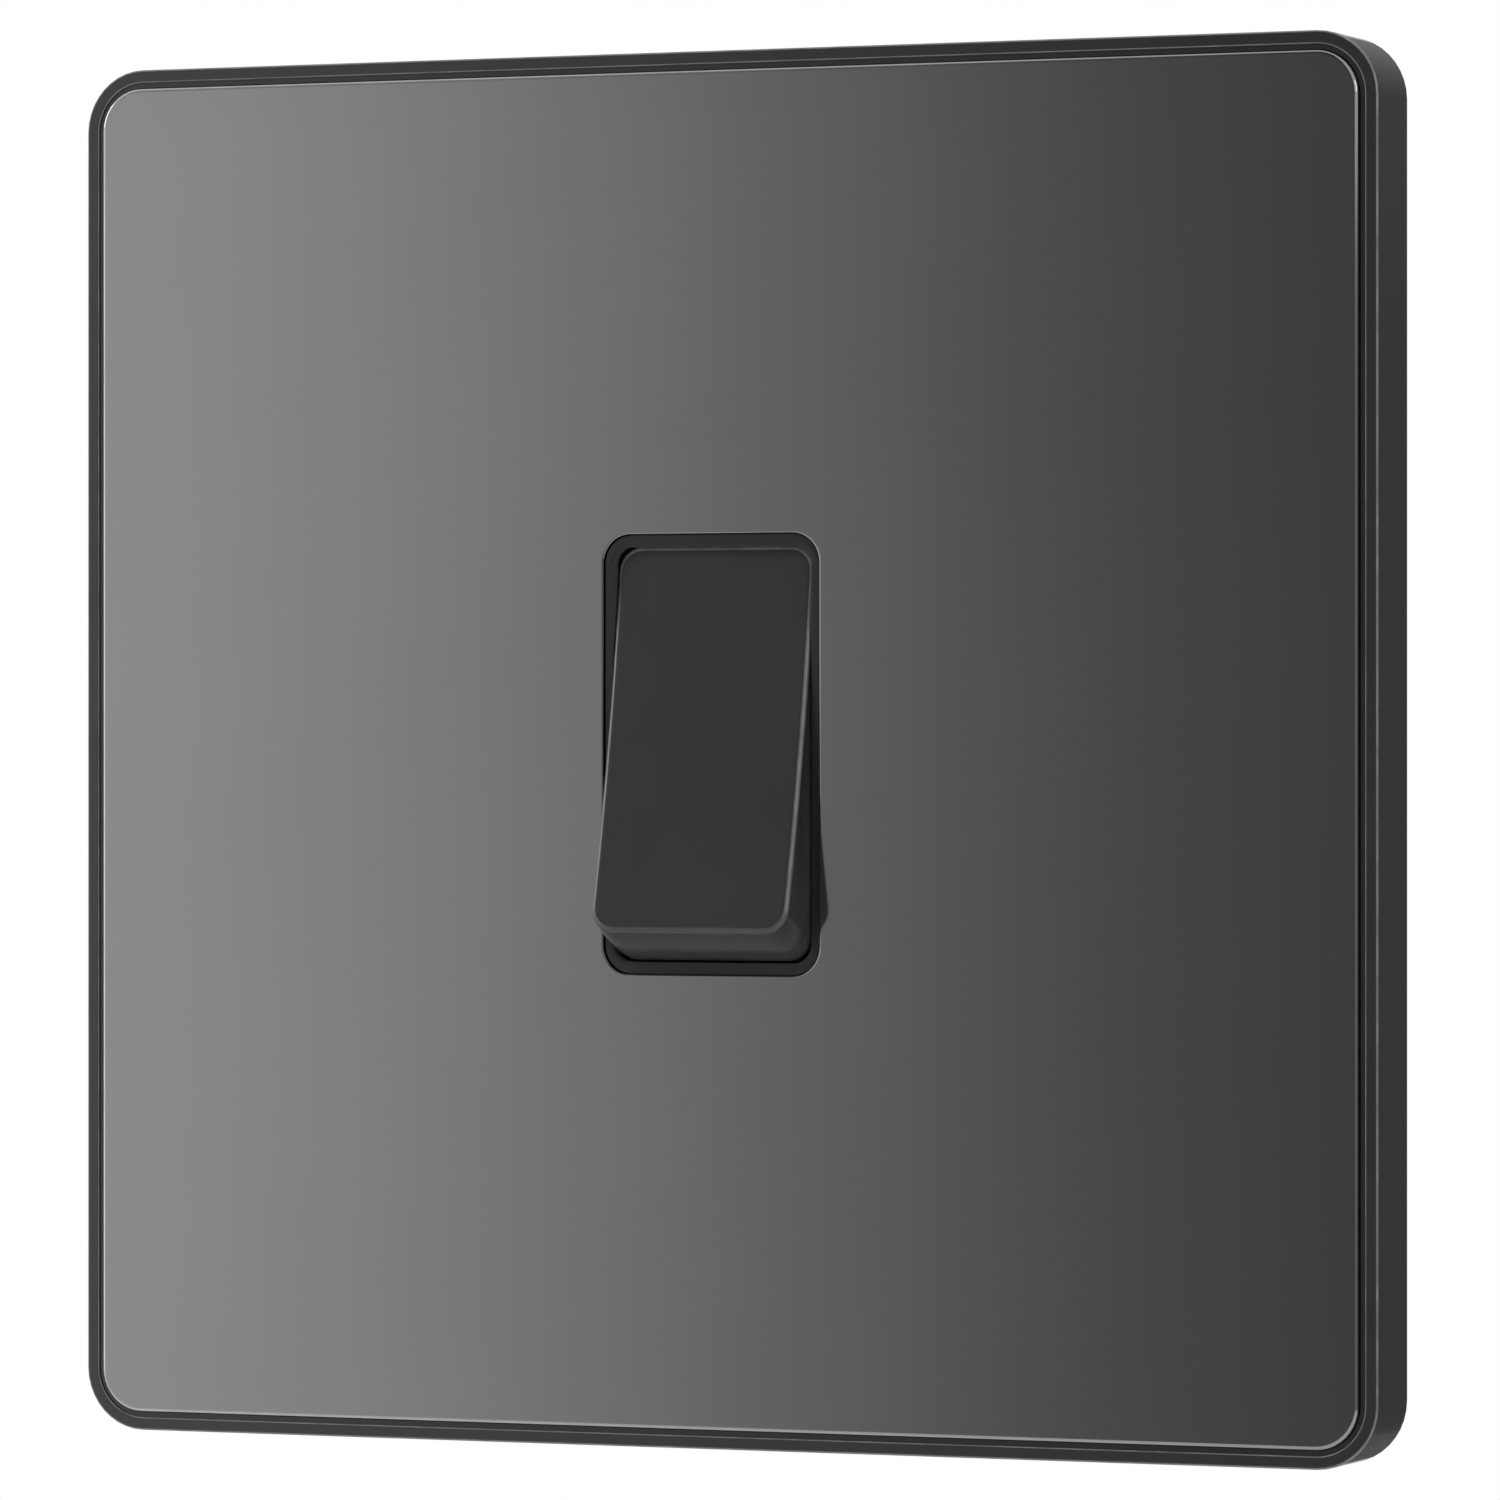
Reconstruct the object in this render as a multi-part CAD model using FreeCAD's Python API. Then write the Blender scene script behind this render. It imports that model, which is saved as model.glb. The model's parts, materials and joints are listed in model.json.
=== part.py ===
import FreeCAD, Part
import math
import os

from FreeCAD import Vector

# One-gang rocker wall switch with a clip-on metal front, for a wall box with its lugs 60.3 mm apart.
# Millimetres. X runs right and Z up across the wall, Y runs into the wall, and the wall is y = 0.
# The rocker is drawn where it rests, with its top pressed in.

# ---- cover: a metal sheet in a moulded frame ----
cover_width = 95.0
cover_depth = 6.25           # wall to the face of the rim
cover_corner = 4.3
cover_edge = 0.25            # bevel of the rim's outer front edge
rim_width = 0.9              # flat face of the rim
rim_wall = 2.0
groove_width = 0.4           # shadow line between the rim and the metal
groove_depth = 0.3
web_thickness = 1.2          # moulding behind the metal
plate_thickness = 1.0
plate_stand = 0.3            # the metal stands in front of the rim
plate_corner = 2.95
plate_edge = 0.15            # bevel
plate_fit = 0.05             # gap round the metal, and round the collar in its window
window_corner = 2.0
window_edge = 0.25           # bevel of the window's edge
collar_wall = 0.45           # black lining of the window
collar_recess = 0.2          # the lining stops short of the metal's face
gusset_thickness = 1.0
gusset_length = 4.0
gusset_height = 2.2
gusset_pitch = 18.0
gussets_per_side = 4
pry_width = 8.0              # screwdriver notch in the bottom edge
pry_depth = 1.2

# ---- rocker ----
rocker_width = 14.4
rocker_radius = 14.45        # its ends are arcs round the pivot
rocker_bulge = 1.15          # each arc stands out past the face's corner
rocker_face = 2 * (rocker_radius - rocker_bulge)    # face, corner to corner
rocker_tilt = 11.4           # degrees to each side of level
rocker_corner = 1.0          # bevel down its four corners
rocker_edge = 0.3            # bevel of the face's rim
rocker_wall = 1.4
rocker_skirt = 1.2           # straight end of its sides behind the pivot
face_radius = 190.0          # the face is slightly hollow
pivot_depth = 4.0            # metal's face back to the pivot
pivot_z = -0.3               # the window sits a little below the middle
side_gap = 0.25              # beside the rocker
end_gap = 0.37               # past the ends of the rocker, over its whole swing
trunnion_radius = 1.15
trunnion_reach = 1.8         # beyond the rocker's side
trunnion_clearance = 0.05
ear_radius = 2.6             # round the trunnion, on the side walls
barrel_radius = 2.7          # tube that holds the spring and the plunger
barrel_bore = 1.9
barrel_back = 5.85           # mouth of the barrel, behind the pivot
barrel_front = 3.0           # blind end of its bore, in front of the pivot
rib_thickness = 1.0
spine_clearance = 1.5        # the long rib stops this far in front of the pivot

# ---- plunger and its spring ----
plunger_clearance = 0.05
plunger_shoulder = 1.8       # behind the pivot
plunger_stand = 0.6          # head beyond the barrel's mouth
plunger_shank = 1.2          # radius of the part that reaches the see-saw
plunger_crown = 2.0          # radius of its round tip
spigot_radius = 0.9
spigot_length = 1.8
spring_radius = 1.4          # to the middle of the wire
spring_wire = 0.4
spring_turns = 5
spring_steps = 8             # straight lengths in each turn
spring_gap = 0.05            # at each end
tip_gap = 0.42               # plunger to see-saw at rest, which it closes in mid-travel

# ---- see-saw contact ----
fulcrum_depth = 10.85        # rocker's pivot back to the fulcrum
seesaw_tilt = 7.5            # degrees to each side of level
seesaw_thickness = 1.2
seesaw_width = 5.0
seesaw_corner = 1.2
flange_thickness = 0.5       # folded edges that guide the plunger
flange_height = 1.4
flange_length = 10.0
fulcrum_radius = 0.55
fulcrum_clearance = 0.05
fulcrum_neck = 0.35          # straight part behind the rounded edge
contact_arm = 11.0           # fulcrum to contact
contact_gap = 0.05           # between the closed contacts
contact_margin = 1.6         # contact to the end of the see-saw
moving_tip_radius = 1.5
moving_tip_height = 0.75
fixed_tip_radius = 1.6
fixed_tip_height = 0.75
contact_crown = 6.0          # radius of the moving contacts' rounded faces

# ---- straps ----
common_thickness = 1.0
common_rise = 1.0            # fulcrum edge back to the strap's face
common_width = 4.8
common_step = 1.8            # length of the slope where the strap steps back
common_reach = 5.8           # from the middle to that slope
way_thickness = 0.8
way_width = 3.6
strap_margin = 0.5           # strap inside the edge of its terminal
leaf_thickness = 0.4
leaf_width = 3.0
leaf_gap = 0.05              # earth leaf to the metal's back
leaf_lift = 0.9              # slope of the leaf starts behind the cover, and its tail turns back
leaf_rise = 2.4              # crest of the leaf above the middle of its terminal
leaf_tail = 1.4
leaf_room = 0.6              # all round the leaf where it passes through something

# ---- terminals ----
terminal_width = 7.0
terminal_height = 8.0
wire_radius = 2.0
wire_wall = 0.9              # in front of the wire hole
wire_end = 1.0               # beyond its blind end
thread_wall = 1.6            # behind the wire hole, where the screw bites
thread_radius = 1.7
thread_clearance = 0.05
tip_clearance = 0.1          # screw's tip back from the wire hole
terminal_screw_stand = 2.8   # headless screw clear of its block, backed out as supplied
terminal_screw_recess = 0.2  # screw inside the housing
screwdriver_gap = 0.5        # round the screw

# ---- support, screwed to the wall box ----
clip_channel = 5.5           # between the rim wall and the support's edge
support_corner = 6.0
support_thickness = 2.6
support_skin = 1.2           # left behind the front pockets
support_rib = 1.2
support_border = 2.4
pocket_columns = 3           # to each side of the middle
pocket_rows = 1
wall_border = 4.5            # rim of the back that touches the wall
wall_recess = 0.4            # the rest of the back stands off the wall
surround_rise = 1.55         # rocker surround in front of the support
surround_wall = 1.9
surround_corner = 2.0
ramp_width = 2.3             # lead-in from the front to each trunnion hole
ramp_depth = 0.7
fixing_pitch = 60.3          # standard spacing of the box's lugs
fixing_radius = 1.75         # M3.5
fixing_length = 25.0
fixing_clearance = 0.35
fixing_slot = 7.0            # right-hand hole, end to end, for levelling
fixing_waist = 1.4           # shank inside the support, so that the screw stays captive
fixing_head_radius = 3.3
fixing_head = 2.0
fixing_recess = 0.8          # depth of the recess for the head
fixing_recess_gap = 1.0      # round the head
lug_wall = 1.7               # round that recess
spigot_wall = 1.2            # low wall on the back that centres the housing
spigot_height = 1.6
spigot_gap = 0.2

# ---- housing of the mechanism ----
housing_width = 34.2
housing_height = 43.6
housing_taper = 0.4          # draft of each side over the whole depth
housing_corner = 2.2
housing_edge = 0.9           # bevel of the back
housing_wall = 1.8
housing_floor = 1.6
base_margin = 2.0            # flange round the mouth
base_thickness = 2.0
ear_radius_back = 3.6        # screw ears of the flange
ear_offset = 3.0             # screw beyond the housing's end
housing_screw_radius = 1.25
housing_screw_length = 4.4
housing_head_radius = 2.3
housing_head = 1.4
screw_hole_gap = 0.15
boss_wall = 1.3
boss_roof = 0.6
seat_gap = 0.2               # beside each terminal in its pocket
end_room = 0.4               # terminal to the end wall
partition = 1.5
core_bays = 4
entry_width = 5.2            # square wire holes in the end walls
entry_flare = 0.7            # their funnel, on each side

# ---- clips ----
tongue_x = 24.0
tongue_width = 9.0
tongue_thickness = 1.2
tongue_end = 0.35            # short of the wall
tongue_gap = 0.3             # beside the support's edge
hook_reach = 0.65
hook_land = 0.35             # flat top of the barb
catch_thickness = 1.1        # lip on the support that the barb holds
catch_gap = 0.05

# ---- planes and places that follow from them ----
rim_face = -cover_depth
plate_face = rim_face - plate_stand
plate_back = plate_face + plate_thickness
web_back = plate_back + web_thickness
plate_width = cover_width - 2 * (rim_width + groove_width)
cover_inside = cover_width - 2 * rim_wall
pivot_y = plate_face + pivot_depth
swing_radius = rocker_radius + end_gap
passage_width = rocker_width + 2 * side_gap
passage_height = 2 * math.sqrt(swing_radius ** 2 - (pivot_y - plate_back) ** 2)
passage_corner = window_corner - collar_wall - plate_fit
window_width = passage_width + 2 * (collar_wall + plate_fit)
window_height = passage_height + 2 * (collar_wall + plate_fit)
face_corner = math.sqrt(rocker_radius ** 2 - (rocker_face / 2) ** 2)
face_centre = face_corner + math.sqrt(face_radius ** 2 - (rocker_face / 2) ** 2)
support_width = cover_inside - 2 * clip_channel
support_face = -support_thickness
surround_face = support_face - surround_rise
support_back = -wall_recess
lug_radius = fixing_head_radius + fixing_recess_gap + lug_wall
fulcrum_y = pivot_y + fulcrum_depth
crown_centre = moving_tip_height - contact_crown
closed_y = crown_centre * math.cos(math.radians(seesaw_tilt)) + contact_crown
closed_y += contact_arm * math.sin(math.radians(seesaw_tilt))
closed_z = contact_arm * math.cos(math.radians(seesaw_tilt))
closed_z -= crown_centre * math.sin(math.radians(seesaw_tilt))
way_face = fulcrum_y + closed_y + contact_gap + fixed_tip_height
deck_y = way_face + way_thickness
wire_y = deck_y + wire_wall + wire_radius
block_back = wire_y + wire_radius + thread_wall
housing_back = block_back + terminal_screw_stand + terminal_screw_recess
floor_y = housing_back - housing_floor
cavity_width = housing_width - 2 * housing_wall
cavity_height = housing_height - 2 * housing_wall
terminal_x = cavity_width / 2 - seat_gap - terminal_width / 2
terminal_z = cavity_height / 2 - end_room - terminal_height / 2
access_half = thread_radius + screwdriver_gap
deck_half = terminal_x - terminal_width / 2 - seat_gap
housing_screw_z = housing_height / 2 + ear_offset
leaf_root = terminal_z - terminal_height / 2 + strap_margin
leaf_crest = terminal_z + leaf_rise
plunger_reach = fulcrum_depth * math.cos(math.radians(seesaw_tilt)) - seesaw_thickness - plunger_crown
plunger_reach /= math.cos(math.radians(rocker_tilt + seesaw_tilt))
plunger_reach += plunger_crown - tip_gap
hair = 1e-4                  # a length below this counts as none
left, right = -1, 1
bottom, top = -1, 1
unit_square = [(-1, -1), (1, -1), (1, 1), (-1, 1)]
across = Vector(1, 0, 0)
inward = Vector(0, 1, 0)


# ---- basic forms ----
def cuboid(x_ends, y_ends, z_ends):
    """Box between two places on each axis, given in either order."""
    lows = [min(ends) for ends in (x_ends, y_ends, z_ends)]
    sizes = [max(ends) - min(ends) for ends in (x_ends, y_ends, z_ends)]
    return Part.makeBox(*sizes, Vector(*lows))


def slab(width, height, corner, front, back, x=0.0, z=0.0):
    """Upright plate with round corners, from y = front to y = back."""
    plate = cuboid((x - width / 2, x + width / 2), (front, back), (z - height / 2, z + height / 2))
    return plate.makeFillet(corner, [edge for edge in plate.Edges if runs_inward(edge)])


def runs_inward(edge):
    box = edge.BoundBox
    return box.YLength > hair and box.XLength < hair and box.ZLength < hair


def rod(radius, front, back, x=0.0, z=0.0):
    return Part.makeCylinder(radius, back - front, Vector(x, front, z), inward)


def axle(radius, x_ends, y, z):
    start, end = min(x_ends), max(x_ends)
    return Part.makeCylinder(radius, end - start, Vector(start, y, z), across)


def prism(corners, along):
    """Solid of a flat outline, carried along a vector."""
    outline = Part.makePolygon(corners + corners[:1])
    return Part.Face(outline).extrude(along)


def side_view(points, x=0.0):
    """Points (y, z) as corners of an outline that stands across the x axis."""
    return [Vector(x, y, z) for y, z in points]


def tapered_block(front_size, back_size, front, back):
    """Block about the y axis whose width and height change evenly from y = front to y = back."""
    (wide, tall), (back_wide, back_tall) = front_size, back_size
    return Part.makeWedge(-wide / 2, front, -tall / 2, -back_tall / 2, -back_wide / 2,
                          wide / 2, back, tall / 2, back_tall / 2, back_wide / 2)


def bent_strip(path, thickness, along):
    """Strip of even thickness on one side of a flat path, carried along a vector."""
    return Part.makePolygon(path).makeOffset2D(thickness, 2, True, True, False).extrude(along)


def edges_on_plane(solid, y, width, height, z=0.0):
    """Edges that lie on one upright plane, inside a rectangle about (0, z)."""
    found = []
    for edge in solid.Edges:
        box = edge.BoundBox
        flat = abs(box.YMin - y) < hair and abs(box.YMax - y) < hair
        inside_x = max(abs(box.XMin), abs(box.XMax)) < width / 2
        inside_z = max(abs(box.ZMin - z), abs(box.ZMax - z)) < height / 2
        if flat and inside_x and inside_z:
            found.append(edge)
    return found


def at_rest(shape):
    """Piece of the rocker, drawn level, turned to where it rests."""
    shape.rotate(Vector(0, pivot_y, pivot_z), across, -rocker_tilt)
    return shape


def seesaw_at_rest(shape):
    """Piece of the see-saw, drawn level, turned to where it rests."""
    shape.rotate(Vector(0, fulcrum_y, pivot_z), across, seesaw_tilt)
    return shape


# ---- cover ----
def front_plate():
    plate = slab(plate_width, plate_width, plate_corner, plate_face, plate_back)
    everything = 2 * plate_width
    plate = plate.makeChamfer(plate_edge, edges_on_plane(plate, plate_face, everything, everything))
    plate = plate.cut(slab(window_width, window_height, window_corner, plate_face, plate_back, z=pivot_z))
    mouth = edges_on_plane(plate, plate_face, window_width + plate_edge, window_height + plate_edge, pivot_z)
    return plate.makeChamfer(window_edge, mouth)


def rocker_passage():
    """Way for the rocker through the moulding; behind the metal its ends open out along the swing."""
    sides = (-passage_width / 2, passage_width / 2)
    passage = slab(passage_width, passage_height, passage_corner, plate_face, web_back, z=pivot_z)
    swing = axle(swing_radius, sides, pivot_y, pivot_z)
    return passage.fuse(swing.common(cuboid(sides, (plate_back, web_back), (-cover_width, cover_width))))


def gussets():
    """Small webs that stiffen the rim wall against the back of the cover, on all four sides."""
    wall = cover_inside / 2
    outline = [(web_back, wall - gusset_length), (web_back, wall), (web_back + gusset_height, wall)]
    webs = []
    for quarter in range(4):
        for step in range(gussets_per_side):
            start = (step - (gussets_per_side - 1) / 2) * gusset_pitch - gusset_thickness / 2
            web = prism(side_view(outline, start), across * gusset_thickness)
            web.rotate(Vector(0, 0, 0), inward, 90 * quarter)
            webs.append(web)
    return webs


def collar():
    """Lining of the metal's window."""
    width = passage_width + 2 * collar_wall
    height = passage_height + 2 * collar_wall
    return slab(width, height, passage_corner + collar_wall, plate_face + collar_recess, web_back, z=pivot_z)


def leaf_slope():
    """How far the earth leaf climbs for each millimetre forward."""
    return (leaf_crest - leaf_root) / (leaf_lift + web_back - plate_back - leaf_gap)


def earth_opening():
    """Hole in the web, where the earth leaf reaches the metal's back."""
    slope = leaf_slope()
    low = leaf_root + slope * leaf_lift - leaf_thickness * math.hypot(slope, 1) - leaf_room
    high = leaf_crest + leaf_tail + leaf_thickness + leaf_room
    half = leaf_width / 2 + leaf_room
    return cuboid((-terminal_x - half, -terminal_x + half), (plate_back, web_back), (low, high))


def plate_frame():
    frame = slab(cover_width, cover_width, cover_corner, rim_face, 0)
    frame = frame.makeChamfer(cover_edge, edges_on_plane(frame, rim_face, 2 * cover_width, 2 * cover_width))
    mouth = cover_width - 2 * rim_width
    frame = frame.cut(slab(mouth, mouth, cover_corner - rim_width, rim_face, rim_face + groove_depth))
    seat = plate_width + 2 * plate_fit
    frame = frame.cut(slab(seat, seat, plate_corner + plate_fit, rim_face, plate_back))
    frame = frame.cut(slab(cover_inside, cover_inside, cover_corner - rim_wall, web_back, 0))
    frame = frame.fuse([collar()] + gussets())
    bottom_edge = (-cover_width / 2, -cover_inside / 2)
    pry_notch = cuboid((-pry_width / 2, pry_width / 2), (-pry_depth, 0), bottom_edge)
    return frame.cut([rocker_passage(), earth_opening(), pry_notch]).removeSplitter()


def clip_tongue(x, side):
    """Springy tongue of the cover, with a barb that holds the support's catch."""
    stem = support_width / 2 + tongue_gap
    barb = support_face + catch_thickness + catch_gap
    outer = stem + tongue_thickness
    outline = [(web_back, outer), (web_back, stem), (barb, stem), (barb, stem - hook_reach)]
    outline += [(barb + hook_land, stem - hook_reach), (-tongue_end, stem), (-tongue_end, outer)]
    outline = [(y, side * z) for y, z in outline]
    return prism(side_view(outline, x - tongue_width / 2), across * tongue_width)


def clip_tongues():
    return Part.makeCompound([clip_tongue(x, side) for x in (-tongue_x, tongue_x) for side in (bottom, top)])


# ---- support ----
def support_pockets():
    """Blind pockets in the front that leave a waffle of ribs round the middle."""
    reach = support_width / 2 - support_border
    width = (reach - support_rib / 2) / pocket_columns
    height = (reach - lug_radius) / pocket_rows
    pockets = []
    for column in range(pocket_columns):
        for row in range(pocket_rows):
            x = reach - (column + 0.5) * width
            z = reach - (row + 0.5) * height
            if clear_of_middle(x - width / 2, z - height / 2):
                for mid_x, mid_z in [(x, z), (-x, z), (x, -z), (-x, -z)]:
                    half = (width - support_rib) / 2
                    tall = (height - support_rib) / 2
                    pockets.append(cuboid((mid_x - half, mid_x + half), (support_face, -support_skin),
                                          (mid_z - tall, mid_z + tall)))
    return pockets


def clear_of_middle(x, z):
    """Whether a pocket whose inner corner is (x, z) misses the rocker's surround and the screw bosses."""
    return x > passage_width / 2 + surround_wall or z > housing_screw_z + housing_screw_radius + boss_wall


def surround():
    """Wall round the rocker."""
    width = passage_width + 2 * surround_wall
    height = 2 * (swing_radius + surround_wall)
    return slab(width, height, surround_corner, surround_face, support_back, z=pivot_z)


def swing_room():
    """Space that the rocker sweeps inside the support."""
    sides = (-passage_width / 2, passage_width / 2)
    return axle(swing_radius, sides, pivot_y, pivot_z)


def bearing_hole(side):
    """Trunnion hole, with a ramp from the front over which the trunnion snaps in."""
    inner = side * passage_width / 2
    outer = inner + side * surround_wall
    hole = axle(trunnion_radius + trunnion_clearance, (0, outer), pivot_y, pivot_z)
    wide = inner + side * ramp_depth
    corners = [(inner, surround_face), (wide, surround_face), (inner, pivot_y)]
    ramp = prism([Vector(x, y, pivot_z - ramp_width / 2) for x, y in corners], Vector(0, 0, ramp_width))
    return hole.fuse(ramp)


def screw_boss(side):
    return rod(housing_screw_radius + boss_wall, surround_face, support_back, 0, side * housing_screw_z)


def screw_pilot(side):
    radius = housing_screw_radius + thread_clearance
    return rod(radius, surround_face + boss_roof, support_back, 0, side * housing_screw_z)


def fixing_hole(side):
    """Screw hole with a square recess for the head; the right-hand one is a slot."""
    x = side * fixing_pitch / 2
    radius = fixing_radius + fixing_clearance
    half = fixing_head_radius + fixing_recess_gap
    recess = cuboid((x - half, x + half), (support_face, support_face + fixing_recess), (-half, half))
    ends = [0] if side == left else [radius - fixing_slot / 2, fixing_slot / 2 - radius]
    holes = [rod(radius, support_face, 0, x, z) for z in ends]
    middle = cuboid((x - radius, x + radius), (support_face, 0), (ends[0] - hair, ends[-1] + hair))
    return recess.fuse(holes + [middle])


def catch_notch(x, side):
    """Notch in the support's edge, behind the lip that a barb holds."""
    half = tongue_width / 2 + tongue_gap
    edge = side * support_width / 2
    depth = side * (hook_reach + tongue_gap)
    return cuboid((x - half, x + half), (support_face + catch_thickness, 0), (edge - depth, edge))


def leaf_slot():
    """Slot that lets the earth leaf through the support, and through the surround where that reaches it."""
    half = leaf_width / 2 + leaf_room
    sides = (-terminal_x - half, -terminal_x + half)
    low, high = leaf_root - leaf_thickness - leaf_room, leaf_root + leaf_room
    climb = leaf_slope() * max(0, web_back + leaf_lift - surround_face)
    slot = cuboid(sides, (surround_face, support_back), (low, high))
    return slot.fuse(cuboid(sides, (surround_face, support_face), (low, high + climb)))


def locating_spigot():
    half, tall = cavity_width / 2 - spigot_gap, cavity_height / 2 - spigot_gap
    depth = (support_back, support_back + spigot_height)
    ring = cuboid((-half, half), depth, (-tall, tall))
    half, tall = half - spigot_wall, tall - spigot_wall
    return ring.cut(cuboid((-half, half), depth, (-tall, tall)))


def support_frame():
    sides, ends = (left, right), (bottom, top)
    support = slab(support_width, support_width, support_corner, support_face, 0)
    inside = support_width - 2 * wall_border
    support = support.cut([slab(inside, inside, support_corner, support_back, 0)] + support_pockets())
    support = support.fuse([surround(), locating_spigot()] + [screw_boss(side) for side in ends])
    cuts = [swing_room(), leaf_slot()]
    cuts += [bearing_hole(side) for side in sides]
    cuts += [fixing_hole(side) for side in sides]
    cuts += [screw_pilot(side) for side in ends]
    cuts += [catch_notch(x, side) for x in (-tongue_x, tongue_x) for side in ends]
    return support.cut(cuts).removeSplitter()


def fixing_screw(side):
    x = side * fixing_pitch / 2
    seat = support_face + fixing_recess
    thread = support_back / 2    # starts just inside the support, so it crosses the wall plane whole
    head = rod(fixing_head_radius, seat - fixing_head, seat, x)
    waist = rod(fixing_waist, seat, thread, x)
    return head.fuse([waist, rod(fixing_radius, thread, seat + fixing_length, x)])


def fixing_screws():
    return Part.makeCompound([fixing_screw(side) for side in (left, right)])


# ---- housing ----
def cavity(back):
    """Inside of the housing, from its mouth to y = back."""
    half, tall = cavity_width / 2, cavity_height / 2
    return cuboid((-half, half), (support_back, back), (-tall, tall))


def housing_cup():
    """Drafted box: its outside narrows a little towards the back."""
    mouth = (housing_width, housing_height)
    back = (housing_width - 2 * housing_taper, housing_height - 2 * housing_taper)
    cup = tapered_block(mouth, back, support_back, housing_back)
    cup = cup.makeFillet(housing_corner, [edge for edge in cup.Edges if edge.BoundBox.YLength > housing_edge])
    cup = cup.makeChamfer(housing_edge, edges_on_plane(cup, housing_back, housing_width, housing_height))
    return cup.cut(cavity(floor_y))


def housing_base():
    """Flange round the mouth, with an ear for each screw."""
    width, height = housing_width + 2 * base_margin, housing_height + 2 * base_margin
    back = support_back + base_thickness
    base = slab(width, height, housing_corner + base_margin, support_back, back)
    ears = [rod(ear_radius_back, support_back, back, 0, side * housing_screw_z) for side in (bottom, top)]
    return base.fuse(ears).cut(cavity(back))


def mechanism_deck():
    """Raised floor between the terminals that carries the straps, with a pad under the fulcrum."""
    end = cavity_height / 2
    deck = cuboid((-deck_half, deck_half), (deck_y, floor_y), (-end, end))
    half = common_width / 2
    pad_face = fulcrum_y + common_rise + common_thickness
    pad = cuboid((-half, half), (pad_face, deck_y), (pivot_z - half, pivot_z + half))
    return deck.fuse(pad)


def deck_cores():
    """Row of hollows in the back of the deck that keep its walls even."""
    pitch = (cavity_height - partition) / core_bays
    half, tall = deck_half - partition, (pitch - partition) / 2
    places = [(step - (core_bays - 1) / 2) * pitch for step in range(core_bays)]
    return [cuboid((-half, half), (deck_y + partition, housing_back), (z - tall, z + tall)) for z in places]


def pocket_wall(side_x, side_z):
    """Cross wall at the inner end of a terminal's pocket."""
    near = side_z * (terminal_z - terminal_height / 2 - seat_gap)
    return cuboid((side_x * deck_half, side_x * cavity_width / 2), (deck_y, floor_y),
                  (near, near - side_z * partition))


def pocket_back(side_x, side_z):
    """Floor of a terminal's pocket, against the back of its block."""
    near = side_z * (terminal_z - terminal_height / 2 - seat_gap)
    return cuboid((side_x * deck_half, side_x * cavity_width / 2), (block_back, floor_y),
                  (near, side_z * cavity_height / 2))


def wire_entry(side_x, side_z):
    """Square hole through the end wall, in line with a terminal's wire hole, with a funnel outside."""
    x = side_x * terminal_x
    inside = side_z * (cavity_height / 2 - end_room)
    outside = side_z * housing_height / 2
    flare = entry_flare + housing_taper
    throat = outside - side_z * flare
    wide = entry_width + 2 * flare
    half = entry_width / 2
    hole = cuboid((x - half, x + half), (wire_y - half, wire_y + half), (inside, throat))
    funnel = tapered_block((entry_width, entry_width), (wide, wide), 0, flare)
    funnel.rotate(Vector(0, 0, 0), across, side_z * 90)
    funnel.translate(Vector(x, wire_y, throat))
    return hole.fuse(funnel)


def mechanism_housing():
    corners = [(x, z) for x in (left, right) for z in (bottom, top)]
    adds = [housing_base(), mechanism_deck()]
    cuts = deck_cores()
    for side_x, side_z in corners:
        x, z = side_x * terminal_x, side_z * terminal_z
        adds += [pocket_wall(side_x, side_z), pocket_back(side_x, side_z)]
        cuts.append(cuboid((x - access_half, x + access_half), (block_back, housing_back),
                           (z - access_half, z + access_half)))
        cuts.append(wire_entry(side_x, side_z))
    hole_radius = housing_screw_radius + screw_hole_gap
    hole_back = support_back + base_thickness
    cuts += [rod(hole_radius, support_back, hole_back, 0, side * housing_screw_z) for side in (bottom, top)]
    return housing_cup().fuse(adds).cut(cuts).removeSplitter()


def housing_screw(side):
    z = side * housing_screw_z
    seat = support_back + base_thickness
    tip = seat - housing_screw_length
    head = rod(housing_head_radius, seat, seat + housing_head, 0, z)
    return head.fuse(rod(housing_screw_radius, tip, seat, 0, z))


def housing_screws():
    return Part.makeCompound([housing_screw(side) for side in (bottom, top)])


# ---- terminals ----
def terminal(side_x, side_z):
    """Brass block: a blind wire hole open at the housing's end, and a screw hole from behind."""
    x, z = side_x * terminal_x, side_z * terminal_z
    half, tall = terminal_width / 2, terminal_height / 2
    block = cuboid((x - half, x + half), (deck_y, block_back), (z - tall, z + tall))
    start = Vector(x, wire_y, z - side_z * (terminal_height / 2 - wire_end))
    wire = Part.makeCylinder(wire_radius, terminal_height - wire_end, start, Vector(0, 0, side_z))
    return block.cut([wire, rod(thread_radius + thread_clearance, wire_y, block_back, x, z)])


def terminal_screw(side_x, side_z):
    x, z = side_x * terminal_x, side_z * terminal_z
    tip = wire_y + wire_radius + tip_clearance
    return rod(thread_radius, tip, block_back + terminal_screw_stand, x, z)


def terminal_screws():
    return Part.makeCompound([terminal_screw(x, z) for x in (left, right) for z in (bottom, top)])


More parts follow.
